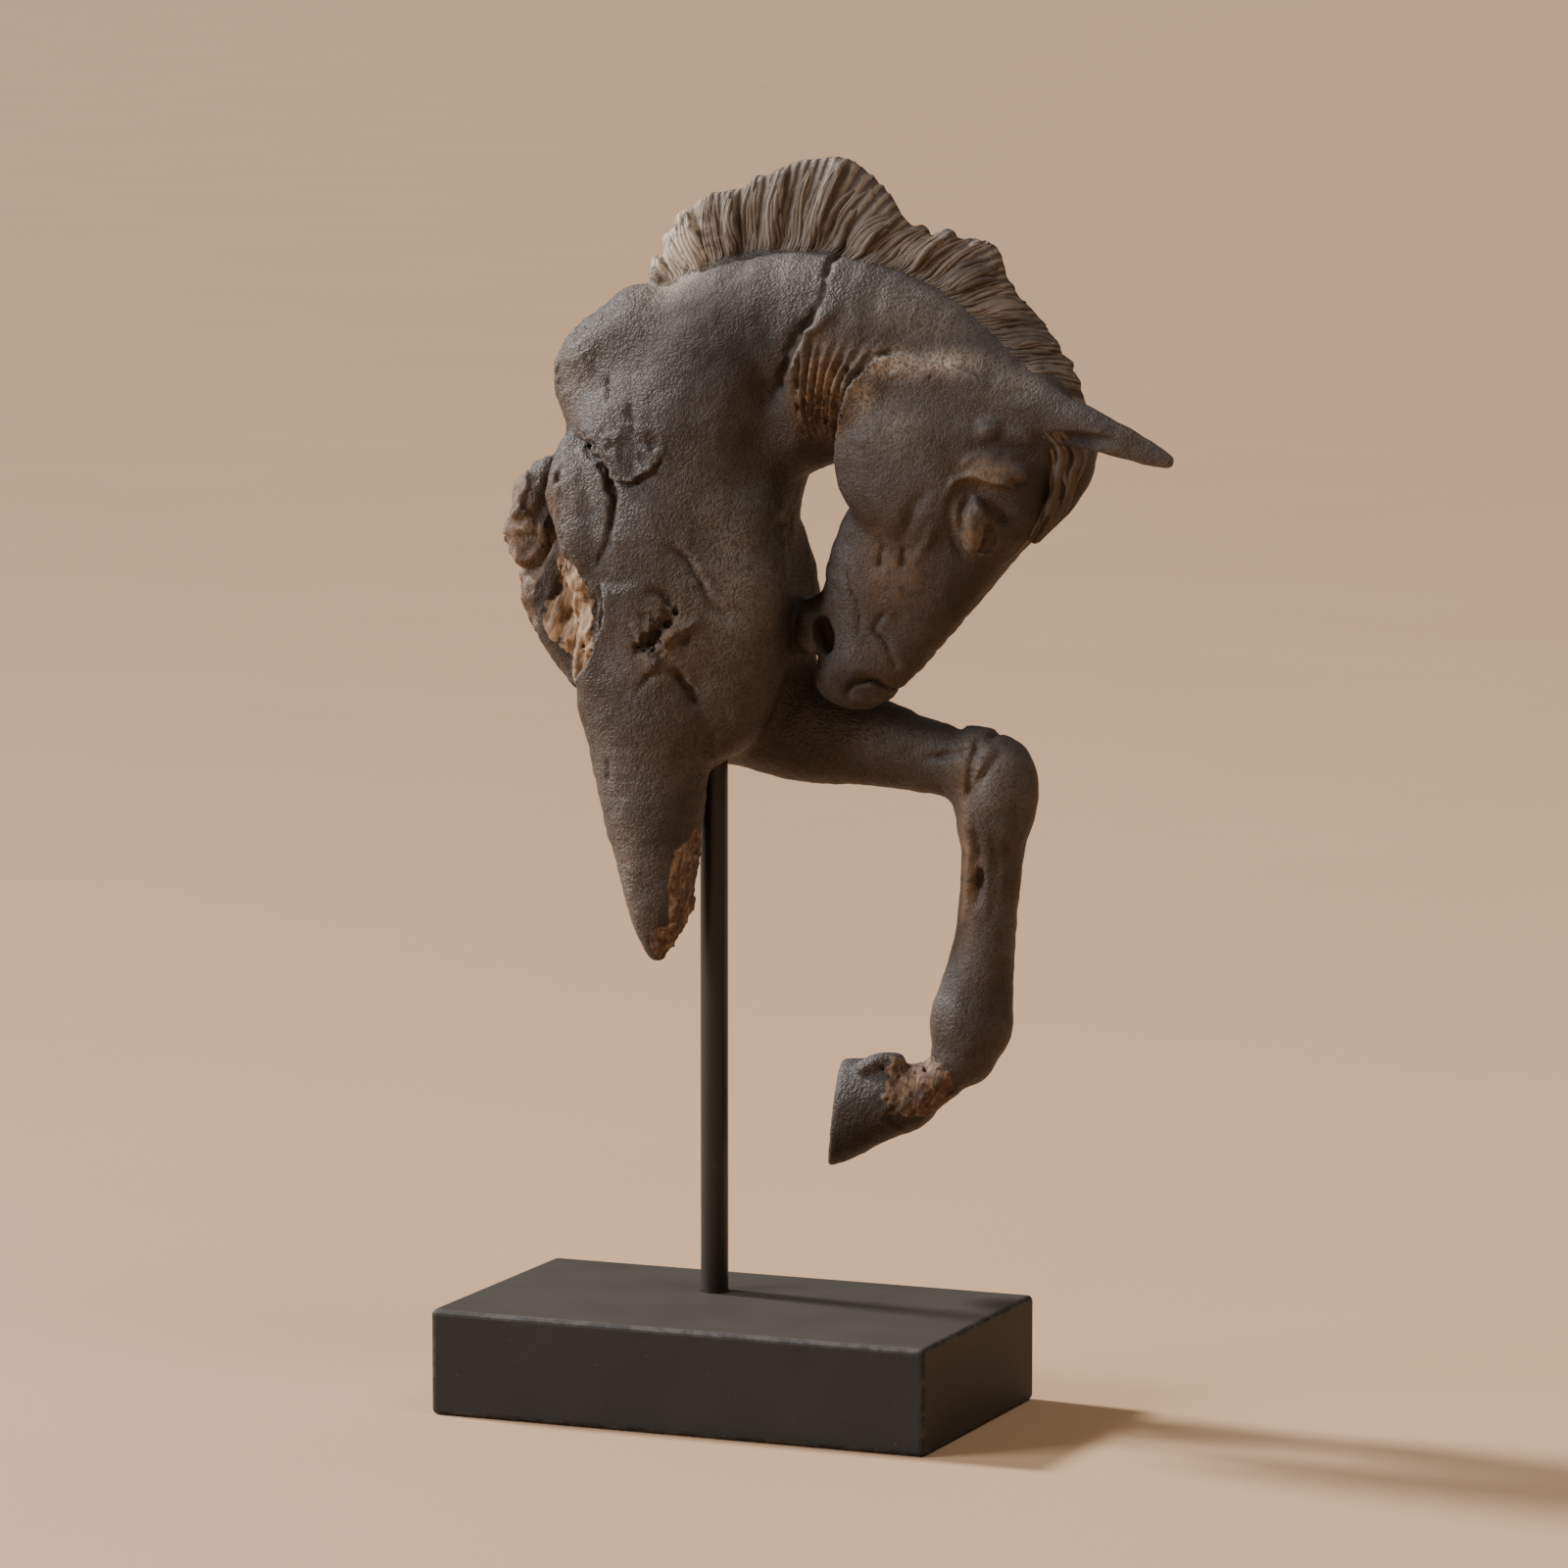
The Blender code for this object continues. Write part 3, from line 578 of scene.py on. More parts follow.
class Clay:
    """The casting's field. Forms are added in order, and then lines, lips and chips."""

    def __init__(self):
        self.forms = []
        self.marks = []

    def add(self, distance, low, high, blend, sign=1):
        margin = blend + FORM_MARGIN
        self.forms.append((distance, np.array(low) - margin, np.array(high) + margin, blend, sign))

    def add_limb(self, stations, blend, squareness=2.0, steps=LIMB_STEPS):
        rows = placed(stations)
        reach = rows[:, 3:5].max(1)[:, None]
        self.add(
            lambda points: limb_distance(points, rows, squareness, steps),
            (rows[:, :3] - reach).min(0), (rows[:, :3] + reach).max(0), blend,
        )

    def add_egg(self, centre, halves, turn, blend, side, sign=1):
        for direction in ((NEAR, FAR) if side == BOTH else (None,)):
            middle = np.array(centre, float)
            middle[1] = MIDPLANE + (middle[1] * direction if direction else middle[1])
            reach = max(halves)
            self.add(
                lambda points, middle=middle: egg_distance(points, middle, halves, turn),
                middle - reach, middle + reach, blend, sign,
            )

    def mark(self, change, low, high):
        self.marks.append((change, np.array(low, float), np.array(high, float)))

    def add_line(self, side, half_width, height, path, straying):
        def change(points, crooked):
            gap, share, _ = path_distance(points, path, straying * crooked[:, :2])
            fade = tapered(share, LINE_FADE) * crooked[:, 2]
            return -height * np.exp(-((gap / half_width) ** 2)) * fade * side_weight(points, side)
        self.mark(change, *self.strip(path, 3 * half_width))

    def add_lip(self, side, height, reach, path, straying):
        def change(points, crooked):
            gap, share, left = path_distance(points, path, straying * crooked[:, :2])
            inward = gap * left
            raised = np.exp(-np.maximum(inward, 0) / reach * 1.6) * smoothly(inward, -0.5, 0.5)
            raised *= smoothly(LIP_END * reach - gap, 0, reach)
            foot = np.exp(-(((inward + LIP_FOOT) / LIP_FOOT) ** 2)) * 0.5
            return -height * (raised - foot) * tapered(share, LIP_FADE) * side_weight(points, side)
        self.mark(change, *self.strip(path, LIP_END * reach))

    def add_folds(self, count, depth, first, last):
        def change(points, crooked):
            gap, share, before = path_distance(points, first, 0.5 * crooked[:, :2])
            rest, _, after = path_distance(points, last, 0.5 * crooked[:, :2])
            place = gap / np.maximum(gap + rest, 1e-6)
            amid = (before * after < 0) & (gap + rest < WIDEST_FAN)
            fade = smoothly(share, 0, 0.3) * smoothly(1 - share, 0, 0.25) * amid
            groove = 0.5 + 0.5 * np.cos(2 * math.pi * count * place)
            fade *= np.clip((gap + rest) / count / FOLD_PITCH, 0, 1)
            return depth * (groove - 0.35) * fade
        self.mark(change, *self.strip(first + last, 2))

    @staticmethod
    def strip(path, margin):
        flat = np.array(path, float)
        low, high = flat.min(0) - margin, flat.max(0) + margin
        return (low[0], -100, low[1]), (high[0], 100, high[1])

    def add_chips(self, centre, reach, roughness, size, grain, seed):
        def change(points, crooked):
            amount = patch(points, centre, reach)
            here = amount > 0
            coarse = chips(points[here], size, grain, seed)
            fine = chips(points[here], size * 0.45, grain, seed + 20)
            amount[here] *= roughness * (0.7 * coarse + 0.3 * fine)
            return amount
        middle, margin = placed([centre])[0], np.array(reach) * 1.3
        self.mark(change, middle - margin, middle + margin)

    def level(self, points):
        found = np.full(len(points), FAR_OUTSIDE, np.float32)
        for distance, low, high, blend, sign in self.forms:
            inside = np.all((points > low) & (points < high), axis=1)
            if inside.any():
                if sign > 0:
                    found[inside] = melt(found[inside], distance(points[inside]), blend)
                else:
                    found[inside] = -melt(-found[inside], distance(points[inside]), blend)
        near = np.abs(found) < MARK_REACH
        if near.any():
            places, level = points[near], found[near]
            crooked = crookedness(places)
            for change, low, high in self.marks:
                inside = np.all((places > low) & (places < high), axis=1)
                if inside.any():
                    level[inside] += change(places[inside], crooked[inside])
            found[near] = level
        return found


def patch_ratio(points, centre, reach):
    """How far out in an ellipsoid each point is: 0 at its centre and 1 on its border."""
    return np.linalg.norm((points - placed([centre])[0]) / np.array(reach, float), axis=1)


def patch(points, centre, reach):
    """1 well inside an ellipsoidal patch, 0 outside, with a ragged border."""
    ratio = patch_ratio(points, centre, reach)
    border = 1 - ratio + 0.22 * wander(points, 7, 3) + 0.12 * wander(points, 2.6, 4)
    return smoothly(border, 0, 0.22)


def soft_patch(points, centre, reach):
    """1 at the centre of an ellipsoidal patch, fading to 0 about its border."""
    ratio = patch_ratio(points, centre, reach)
    return np.clip(np.exp(-2.2 * ratio**2) * (1.05 + 0.3 * wander(points, 6, 5)), 0, 1)


def hoof_distance(points):
    """Distance to the hoof: a limb cut off flat by its sole."""
    lean, turn = math.radians(SOLE_LEAN), math.radians(SOLE_TURN)
    along = np.array([math.sin(lean), 0, math.cos(lean)])
    across = unit(np.array([-math.tan(turn), 1, 0]))
    outward = unit(np.cross(along, across))
    outward = outward * -np.sign(outward[0])
    wall = limb_distance(points, placed(HOOF))
    beyond = (points - np.array(SOLE_AT, float)) @ outward
    return -melt(-wall, -beyond, SOLE_BLEND)


def horse_clay():
    clay = Clay()
    for name, blend, stations in LIMBS:
        clay.add_limb(stations, blend, HEAD_SQUARENESS if name == "head" else 2.0)
    crest = [(x, y, z, up - MANE_CREST_INSET, side - MANE_CREST_THINNING) for x, y, z, up, side in MANE_CREST]
    clay.add_limb(crest, 3, steps=MANE_CREST_STEPS)
    for i, (root_x, root_z, tip_x, tip_z) in enumerate(MANE_GUIDES):
        sway = LOCK_SWAY if i % 2 else -LOCK_SWAY
        width = LOCK_WIDTH * lock_spacing(i)
        length = LOCK_LENGTH if i < LONG_LOCKS else LOW_LOCK_LENGTH
        lean = np.array([tip_x - root_x, tip_z - root_z]) * length
        clay.add_limb([
            (root_x - lean[0] * 0.1, sway, root_z - lean[1] * 0.1, width * 0.8, 5.4),
            (root_x + lean[0] * 0.5, sway * 1.4, root_z + lean[1] * 0.5, width, 4.8),
            (root_x + lean[0], sway, root_z + lean[1], width * 0.75, 2.8),
        ], 1.2, steps=8)
    for centre, halves, turn, blend, side in SWELLINGS:
        clay.add_egg(centre, halves, turn, blend, side)
    spine = placed(HOOF)[:, :3]
    clay.add(hoof_distance, spine.min(0) - HOOF_MARGIN, spine.max(0) + HOOF_MARGIN, HOOF_BLEND)
    for centre, halves, turn, blend, side in HOLLOWS:
        clay.add_egg(centre, halves, turn, blend, side, sign=-1)
    for half_width, height, path in NEAR_LINES:
        clay.add_line(NEAR, half_width, height, path, LINE_STRAY)
    for half_width, height, path in LEG_LINES + HEAD_LINES:
        clay.add_line(BOTH, half_width, height, path, EVEN_LINE_STRAY)
    for side, height, reach, path in LIPS:
        clay.add_lip(side, height, reach, path, LIP_STRAY if side == NEAR else EVEN_LIP_STRAY)
    clay.add_folds(FOLDS, FOLD_DEPTH, FIRST_FOLD, LAST_FOLD)
    for i, (centre, reach, roughness, size, stretch, lean, _, _) in enumerate(BROKEN):
        clay.add_chips(centre, reach, roughness, size, (stretch, lean), 31 + 50 * i)
    return clay


def lock_spacing(i):
    """The distance between a mane guide and its neighbours, half way along."""
    middles = [((a + c) / 2, (b + d) / 2) for a, b, c, d in MANE_GUIDES]
    low, high = middles[max(i - 1, 0)], middles[min(i + 1, len(middles) - 1)]
    steps = min(i + 1, len(middles) - 1) - max(i - 1, 0)
    return math.dist(low, high) / steps


def mane_share(points):
    """1 on the mane and 0 on the neck, with a soft border along the crest."""
    near = np.all((points > MANE_BOX[0]) & (points < MANE_BOX[1]), axis=1)
    share = np.zeros(len(points))
    crest = limb_distance(points[near], placed(MANE_CREST), steps=MANE_CREST_STEPS)
    neck = limb_distance(points[near], placed(LIMBS[0][2]))
    share[near] = smoothly(crest, 3.0, 1.2) * smoothly(neck, 0.5, 2.5)
    return share


def comb_place(points, share):
    """How far along the mane each point on it stands, counted in guides."""
    on_mane = share > 0
    flat = points[on_mane][:, [0, 2]]
    lines = through(MANE_GUIDES, COMB_STEPS * (len(MANE_GUIDES) - 1) + 1)
    place = np.zeros(len(points))
    weights, total = np.zeros(len(flat)), np.zeros(len(flat))
    for i, line in enumerate(lines):
        root, lean = line[:2], line[2:] - line[:2]
        t = np.clip((flat - root) @ lean / (lean @ lean), -0.3, 1.3)
        gap = np.linalg.norm(flat - root - t[:, None] * lean, axis=1)
        weight = 1 / (gap**2 + 0.02) ** 2
        weights += weight
        total += weight * i / COMB_STEPS
    place[on_mane] = total / weights
    return place


# --- From the field to a mesh ---------------------------------------------------------------

POINTS_AT_ONCE = 400000
# How deep a filled corner lies, as a share of a step
PINCH_FILL = 0.05


def surface(field, low, high, step, coarseness=4):
    """The points and quads of a field's zero level. It is worked out finely only near the level."""
    low, high = np.array(low, float), np.array(high, float)
    big = step * coarseness
    count = np.ceil((high - low) / big).astype(int) + 1
    axes = [low[i] + big * np.arange(count[i]) for i in range(3)]
    coarse = field(np.stack(np.meshgrid(*axes, indexing="ij"), -1).reshape(-1, 3)).reshape(count)
    near = np.abs(coarse) < big * 1.6
    cells = np.zeros(count - 1, bool)
    for corner in CORNERS:
        cells |= at_corner(near, corner)
    fine_count = (count - 1) * coarseness + 1
    fine = np.full(fine_count, FAR_OUTSIDE, np.float32)
    wanted = np.zeros(fine_count, bool)
    inner = (slice(0, -1),) * 3
    fine[inner] = spread(coarse[:-1, :-1, :-1], coarseness)
    wanted[inner] = spread(cells, coarseness)
    for axis in range(3):
        wanted |= np.roll(wanted, 1, axis)
    places = np.argwhere(wanted)
    for part in np.array_split(places, max(1, len(places) // POINTS_AT_ONCE)):
        fine[tuple(part.T)] = field(low + step * part)
    return net(unpinched(fine, step), low, step)


def spread(values, times):
    """Each value repeated along every axis."""
    for axis in range(3):
        values = np.repeat(values, times, axis)
    return values


def unpinched(values, step):
    """Values with a corner filled wherever two sheets of the surface would meet along an edge."""
    pinches = True
    while pinches:
        inside = values < 0
        pinches = 0
        for axis in range(3):
            second = max(other for other in range(3) if other != axis)
            corner = {
                steps: at_corner(inside, steps[:axis] + (None,) + steps[axis:])
                for steps in itertools.product((0, 1), repeat=2)
            }
            crossed = (corner[0, 0] == corner[1, 1]) & (corner[0, 1] == corner[1, 0])
            places = np.argwhere(crossed & (corner[0, 0] != corner[0, 1]))
            places[:, second] += corner[0, 0][tuple(places.T)]
            values[tuple(places.T)] = -PINCH_FILL * step
            pinches += len(places)
    return values


def net(values, low, step):
    """A surface net: one point in each cell that the level crosses, one quad for each crossed edge."""
    inside = values < 0
    filled = sum(at_corner(inside, corner).astype(np.int8) for corner in CORNERS)
    crossed = (filled > 0) & (filled < 8)
    cells = np.argwhere(crossed)
    number = np.full(crossed.shape, -1, np.int64)
    number[crossed] = np.arange(len(cells))
    level = [values[tuple((cells + corner).T)] for corner in CORNERS]
    total, hits = np.zeros((len(cells), 3)), np.zeros(len(cells))
    for p, q in itertools.combinations(range(8), 2):
        edge = CORNERS[q] - CORNERS[p]
        if np.abs(edge).sum() == 1:
            cuts = (level[p] < 0) != (level[q] < 0)
            t = np.where(cuts, level[p] / np.where(cuts, level[p] - level[q], 1), 0)[:, None]
            total += np.where(cuts[:, None], CORNERS[p] + t * edge, 0)
            hits += cuts
    points = low + step * (cells + total / hits[:, None])
    quads = []
    for axis in range(3):
        others = [other for other in range(3) if other != axis]
        start = [slice(1, n - 1) for n in values.shape]
        start[axis] = slice(0, values.shape[axis] - 1)
        end = list(start)
        end[axis] = slice(1, values.shape[axis])
        here, there = inside[tuple(start)], inside[tuple(end)]
        for leaving, where in ((True, here & ~there), (False, ~here & there)):
            edge = np.argwhere(where)
            edge[:, others] += 1
            ring = []
            for back in ((-1, -1), (0, -1), (0, 0), (-1, 0)):
                cell = edge.copy()
                cell[:, others] += back
                ring.append(number[tuple(cell.T)])
            if leaving == (axis == 1):
                ring.reverse()
            quads.append(np.stack(ring, 1))
    return points, np.concatenate(quads)


def quad_normals(points, quads):
    """The way out of the surface at each point."""
    corner = [points[quads[:, i]] for i in range(4)]
    facing = np.cross(corner[2] - corner[0], corner[3] - corner[1])
    normals = np.zeros_like(points)
    for i in range(4):
        np.add.at(normals, quads[:, i], facing)
    return normals / np.maximum(np.linalg.norm(normals, axis=1, keepdims=True), 1e-9)


def new_object(name, data, place=(0, 0, 0), direction=None):
    """An object in the scene. A lamp or a camera faces the direction."""
    made = bpy.data.objects.new(name, data)
    made.location = place
    if direction:
        made.rotation_euler = direction.to_track_quat("-Z", "Y").to_euler()
    bpy.context.scene.collection.objects.link(made)
    return made


def mesh_object(name, points, faces, edges=()):
    mesh = bpy.data.meshes.new(name)
    mesh.from_pydata(points, edges, faces)
    mesh.update()
    return new_object(name, mesh)


def apply_modifiers(piece):
    """Replaces a piece's mesh with what its modifiers make of it."""
    evaluated = piece.evaluated_get(bpy.context.evaluated_depsgraph_get())
    finished = bpy.data.meshes.new_from_object(evaluated)
    piece.modifiers.clear()
    old = piece.data
    piece.data = finished
    finished.name = piece.name
    bpy.data.meshes.remove(old)


def drop_crumbs(mesh):
    """Deletes every face that the surface doesn't join to the largest shell."""
    shape = bmesh.new()
    shape.from_mesh(mesh)
    shells = []
    for start in shape.faces:
        if start.tag:
            continue
        start.tag = True
        shell = [start]
        for face in shell:
            for edge in face.edges:
                for other in edge.link_faces:
                    if not other.tag:
                        other.tag = True
                        shell.append(other)
        shells.append(shell)
    largest = max(shells, key=len)
    crumbs = [face for shell in shells if shell is not largest for face in shell]
    bmesh.ops.delete(shape, geom=crumbs, context="FACES")
    shape.to_mesh(mesh)
    shape.free()
    mesh.validate()


def vectors(mesh, name="co"):
    """The place or, by another name, the normal of each point of a mesh."""
    found = np.empty(len(mesh.vertices) * 3)
    mesh.vertices.foreach_get(name, found)
    return found.reshape(-1, 3)


def store(mesh, name, values):
    attribute = mesh.attributes.new(name, "FLOAT", "POINT")
    attribute.data.foreach_set("value", np.ascontiguousarray(values, np.float32))


def bending(mesh, rounds=3):
    """How hollow (above nought) or how ridged (below nought) the surface is at each point, in mm."""
    points = vectors(mesh) / MM
    edges = np.empty(len(mesh.edges) * 2, np.int32)
    mesh.edges.foreach_get("vertices", edges)
    first, second = edges.reshape(-1, 2).T
    degree = np.bincount(first, minlength=len(points)) + np.bincount(second, minlength=len(points))
    degree = np.maximum(degree, 1)
    def average(values):
        total = np.zeros_like(values)
        np.add.at(total, first, values[second])
        np.add.at(total, second, values[first])
        return total / (degree[:, None] if values.ndim == 2 else degree)
    soft = points
    for _ in range(rounds):
        soft = average(soft)
    return average(np.einsum("ij,ij->i", soft - points, vectors(mesh, "normal")))


def dust_and_sheen(mesh):
    """How much each point faces up, where a dusty bloom and painted sheen lie."""
    return smoothly(vectors(mesh, "normal")[:, 2], -0.1, 0.85)


# --- Materials ------------------------------------------------------------------------------

def operator(operation, turned=False):
    """A method of Value that adds a Math node. Turned, the value comes after the other."""
    def apply(value, *others):
        sides = (*others, value) if turned else (value, *others)
        return value.nodes.add("ShaderNodeMath", {"operation": operation}, dict(enumerate(sides)))
    return apply


class Value:
    """A socket that takes part in Python expressions. Each operator adds a Math node."""

    __add__ = __radd__ = operator("ADD")
    __mul__ = __rmul__ = operator("MULTIPLY")
    __sub__ = operator("SUBTRACT")
    __rsub__ = operator("SUBTRACT", turned=True)
    __truediv__ = operator("DIVIDE")
    __rtruediv__ = operator("DIVIDE", turned=True)
    at_most = operator("MINIMUM")
    absolute = operator("ABSOLUTE")
    sine = operator("SINE")

    def __init__(self, nodes, socket):
        self.nodes = nodes
        self.socket = socket

    def step(self, low, high):
        """0 below low and 1 above high, eased between. High may be the lower one."""
        return self.nodes.add(
            "ShaderNodeMapRange", {"interpolation_type": "SMOOTHSTEP"},
            {"Value": self, "From Min": low, "From Max": high, "To Min": 0.0, "To Max": 1.0},
        )


class Nodes:
    """Adds nodes to a tree and links them."""

    def __init__(self, tree):
        self.tree = tree

    def add(self, kind, settings=None, sockets=None, output=0):
        node = self.tree.nodes.new(kind)
        for name, setting in (settings or {}).items():
            setattr(node, name, setting)
        for key, value in (sockets or {}).items():
            self.plug(node.inputs[key], value)
        return Value(self, node.outputs[output]) if node.outputs else node

    def plug(self, socket, value):
        if isinstance(value, Value):
            self.tree.links.new(value.socket, socket)
        else:
            socket.default_value = value

    def mix(self, share, first, second):
        """A colour that goes from the first to the second as share goes from 0 to 1."""
        colours = {6: opaque(first), 7: opaque(second), 0: share}
        return self.add("ShaderNodeMix", {"data_type": "RGBA"}, colours, output=2)

    def attribute(self, name):
        return self.add("ShaderNodeAttribute", {"attribute_name": name}, output=2)

    def noise(self, place, size, detail=2.0, roughness=0.5, distortion=0.0):
        return self.add(
            "ShaderNodeTexNoise", {},
            {"Vector": place, "Scale": 1 / size, "Detail": detail, "Roughness": roughness,
             "Distortion": distortion},
        )

    def vector(self, operation, first, second):
        return self.add("ShaderNodeVectorMath", {"operation": operation}, {0: first, 1: second})

    def push(self, drift, amount):
        """A vector noise, centred on nought and scaled by the amount."""
        centred = self.vector("SUBTRACT", drift, (0.5,) * 3)
        return self.add("ShaderNodeVectorMath", {"operation": "SCALE"}, {0: centred, "Scale": amount})

    def moved(self, place, amount, size):
        """The place pushed about by noise of this size."""
        drift = self.add(
            "ShaderNodeTexNoise", {}, {"Vector": place, "Scale": 1 / size, "Detail": 2.0}, output=1,
        )
        return self.vector("ADD", place, self.push(drift, amount))

    def place(self):
        return self.add("ShaderNodeTexCoord", output=3)

    def bump(self, height_mm):
        """A bump of this height in millimetres."""
        return self.add("ShaderNodeBump", {}, {"Strength": 1.0, "Distance": MM, "Height": height_mm})


def opaque(colour):
    """A colour that a node's socket takes: a link, or three numbers and an alpha of 1."""
    return colour if isinstance(colour, Value) else (*colour, 1.0)


def new_material(name, finish, settings):
    """A material whose Principled shader is fed by finish(nodes, settings), a dictionary of sockets."""
    material = bpy.data.materials.new(name)
    material.use_nodes = True
    tree = material.node_tree
    tree.nodes.clear()
    nodes = Nodes(tree)
    shader = nodes.add("ShaderNodeBsdfPrincipled", {}, finish(nodes, settings))
    nodes.add("ShaderNodeOutputMaterial", {}, {"Surface": shader})
    return material


def skin(nodes, settings, place):
    """The cast skin's colour and relief: worm-like wrinkles over soft pebbles."""
    drifted = nodes.moved(place, 1.5 * MM, 5.0 * MM)
    worm = (nodes.noise(drifted, settings.wrinkle_size, 1.0, 0.4, 0.3) - 0.5).absolute().step(0.15, 0.0)
    pebble = nodes.noise(drifted, settings.wrinkle_size * 0.7, 2.0, 0.6)
    broad = nodes.noise(place, 24 * MM, 2.0)
    mottle = nodes.noise(place, 5 * MM, 3.0, 0.6)
    colour = nodes.mix(broad.step(0.36, 0.66), settings.resin_brown, settings.resin_grey)
    colour = nodes.mix(mottle.step(0.48, 0.75) * 0.35, colour, settings.resin_dark_and_shade)
    # Painted sheen on what faces up, together with a dusty bloom
    colour = nodes.mix(nodes.attribute("dust_and_sheen") * 0.6, colour, settings.dust_and_sheen_grey)
    return colour, worm, pebble, mottle, broad


# The bare resin's splinters: their width, how many times longer they are, and their lean in degrees
SPLINTER = 2.4 * MM
SPLINTER_STRETCH = 5
GRAIN_LEAN = -22
# How far the mane's carved ridges sway, in radians
COMB_SWAY = 4.0


def resin_finish(nodes, settings):
    """The casting: whole skin, the mane's carved ridges, and bare resin at the breaks."""
    place = nodes.place()
    raw, rust, warm, worn_and_lit, hollow, ridge = (
        nodes.attribute(name) for name in ("raw", "rust", "warm", "worn_and_lit", "hollow", "ridge")
    )
    whole, worm, pebble, mottle, broad = skin(nodes, settings, place)
    leaning = nodes.add(
        "ShaderNodeVectorRotate", {"rotation_type": "Y_AXIS"},
        {"Vector": place, "Angle": math.radians(GRAIN_LEAN)},
    )
    drawn = nodes.vector("MULTIPLY", leaning, (1, 1, 1 / SPLINTER_STRETCH))
    splinter = nodes.noise(drawn, SPLINTER, 5.0, 0.72, 0.6)

    whole = nodes.mix(warm * mottle.step(0.25, 0.6) * 0.85, whole, settings.warm_brown)
    # Rubbed ridges, and painted light where the worn tint lies
    rubbed_and_lit = (worn_and_lit * (0.5 + 0.5 * worm) + ridge * 0.35).at_most(1.0)
    whole = nodes.mix(rubbed_and_lit * 0.75, whole, settings.worn_and_lit_grey)
    # Darker in the low parts of the wrinkles and pebbles
    whole = nodes.mix((1 - worm) * pebble.step(0.55, 0.35) * 0.45, whole, settings.resin_dark_and_shade)
    # Painted shade where the shade tint lies
    shade = nodes.attribute("shade")
    whole = nodes.mix(shade * 0.80, whole, settings.resin_dark_and_shade)

    mane = nodes.attribute("mane")
    phase = nodes.attribute("comb") * (2 * math.pi * settings.ridges) + COMB_SWAY * broad
    comb = 0.5 + 0.5 * phase.sine()
    # Painted shade in the grooves between the mane's carved ridges
    tufts = nodes.mix(comb.step(0.25, 0.75), settings.mane_shadow, settings.mane_brown)
    # Paler where rubbed, and painted light where the worn tint lies
    tufts = nodes.mix(worn_and_lit * mottle.step(0.3, 0.6), tufts, settings.worn_and_lit_grey)
    whole = nodes.mix(mane * 0.9, whole, tufts)
    bare = nodes.mix((rust * (0.5 + mottle.step(0.35, 0.65))).at_most(1.0), settings.raw_tan,
                     settings.raw_rust)
    bare = nodes.mix(splinter.step(0.60, 0.34) * (0.65 + 0.3 * rust), bare, settings.resin_brown)
    bare_share = (raw * (0.5 + mottle)).step(0.3, 0.65)
    colour = nodes.mix(bare_share, whole, bare)
    # Painted shade in the hollows of the form
    colour = nodes.mix(hollow * 0.9, colour, settings.resin_dark_and_shade)

    ahead = nodes.add("ShaderNodeSeparateXYZ", {}, {0: place})
    sleek = ahead.step(35 * MM, 60 * MM)
    plain = (1 - 0.7 * bare_share) * (1 - mane) * (1 - 0.7 * warm) * (1 - 0.35 * shade) * (1 - 0.4 * sleek)
    height = (0.23 * worm + 0.22 * pebble) * plain + 0.45 * bare_share * splinter + 0.40 * mane * comb
    return {
        "Base Color": colour,
        "Roughness": 0.50 + 0.14 * pebble + 0.20 * bare_share + 0.20 * shade,
        "Normal": nodes.bump(height),
        "Specular IOR Level": 0.25,
    }


def mane_finish(nodes, settings):
    """The mane's strands, each with its own tone, paler where they are rubbed and where painted light lies on
    them.
    """
    colour, _, pebble, mottle, _ = skin(nodes, settings, nodes.place())
    tone, worn_and_lit = nodes.attribute("tone"), nodes.attribute("worn_and_lit")
    colour = nodes.mix(0.8, colour, settings.mane_brown)
    colour = nodes.mix(tone.step(0.35, 1.0) * 0.8, colour, settings.mane_shadow)
    # Paler where rubbed, and painted light on the mane's lit end
    colour = nodes.mix((0.10 + 1.20 * worn_and_lit) * mottle.step(0.3, 0.6), colour, settings.worn_and_lit_grey)
    # Painted shade on the mane's shaded strands, and darker tone on the forelock
    colour = nodes.mix(nodes.attribute("shade") * 0.8, colour, settings.resin_brown)
    return {
        "Base Color": colour,
        "Roughness": 0.46 + 0.16 * mottle,
        "Normal": nodes.bump(0.12 * pebble + 0.12 * mottle),
        "Specular IOR Level": 0.25,
    }


def rod_finish(nodes, settings):
    """Satin black, drawn along the rod and a little specked."""
    place = nodes.place()
    drawn = nodes.noise(nodes.vector("MULTIPLY", place, (1, 1, 0.04)), 0.6 * MM, 2.0)
    specks = nodes.noise(place, 1.1 * MM, 3.0)
    smudge = nodes.noise(place, 14 * MM, 2.0)
    colour = nodes.mix(specks.step(0.62, 0.74) * 0.6, settings.rod_black, settings.rod_wear)
    return {
        "Base Color": colour,
        "Roughness": 0.30 + 0.12 * smudge + 0.06 * drawn,
        "Normal": nodes.bump(0.015 * drawn + 0.02 * specks),
        "Specular IOR Level": 0.35,
    }


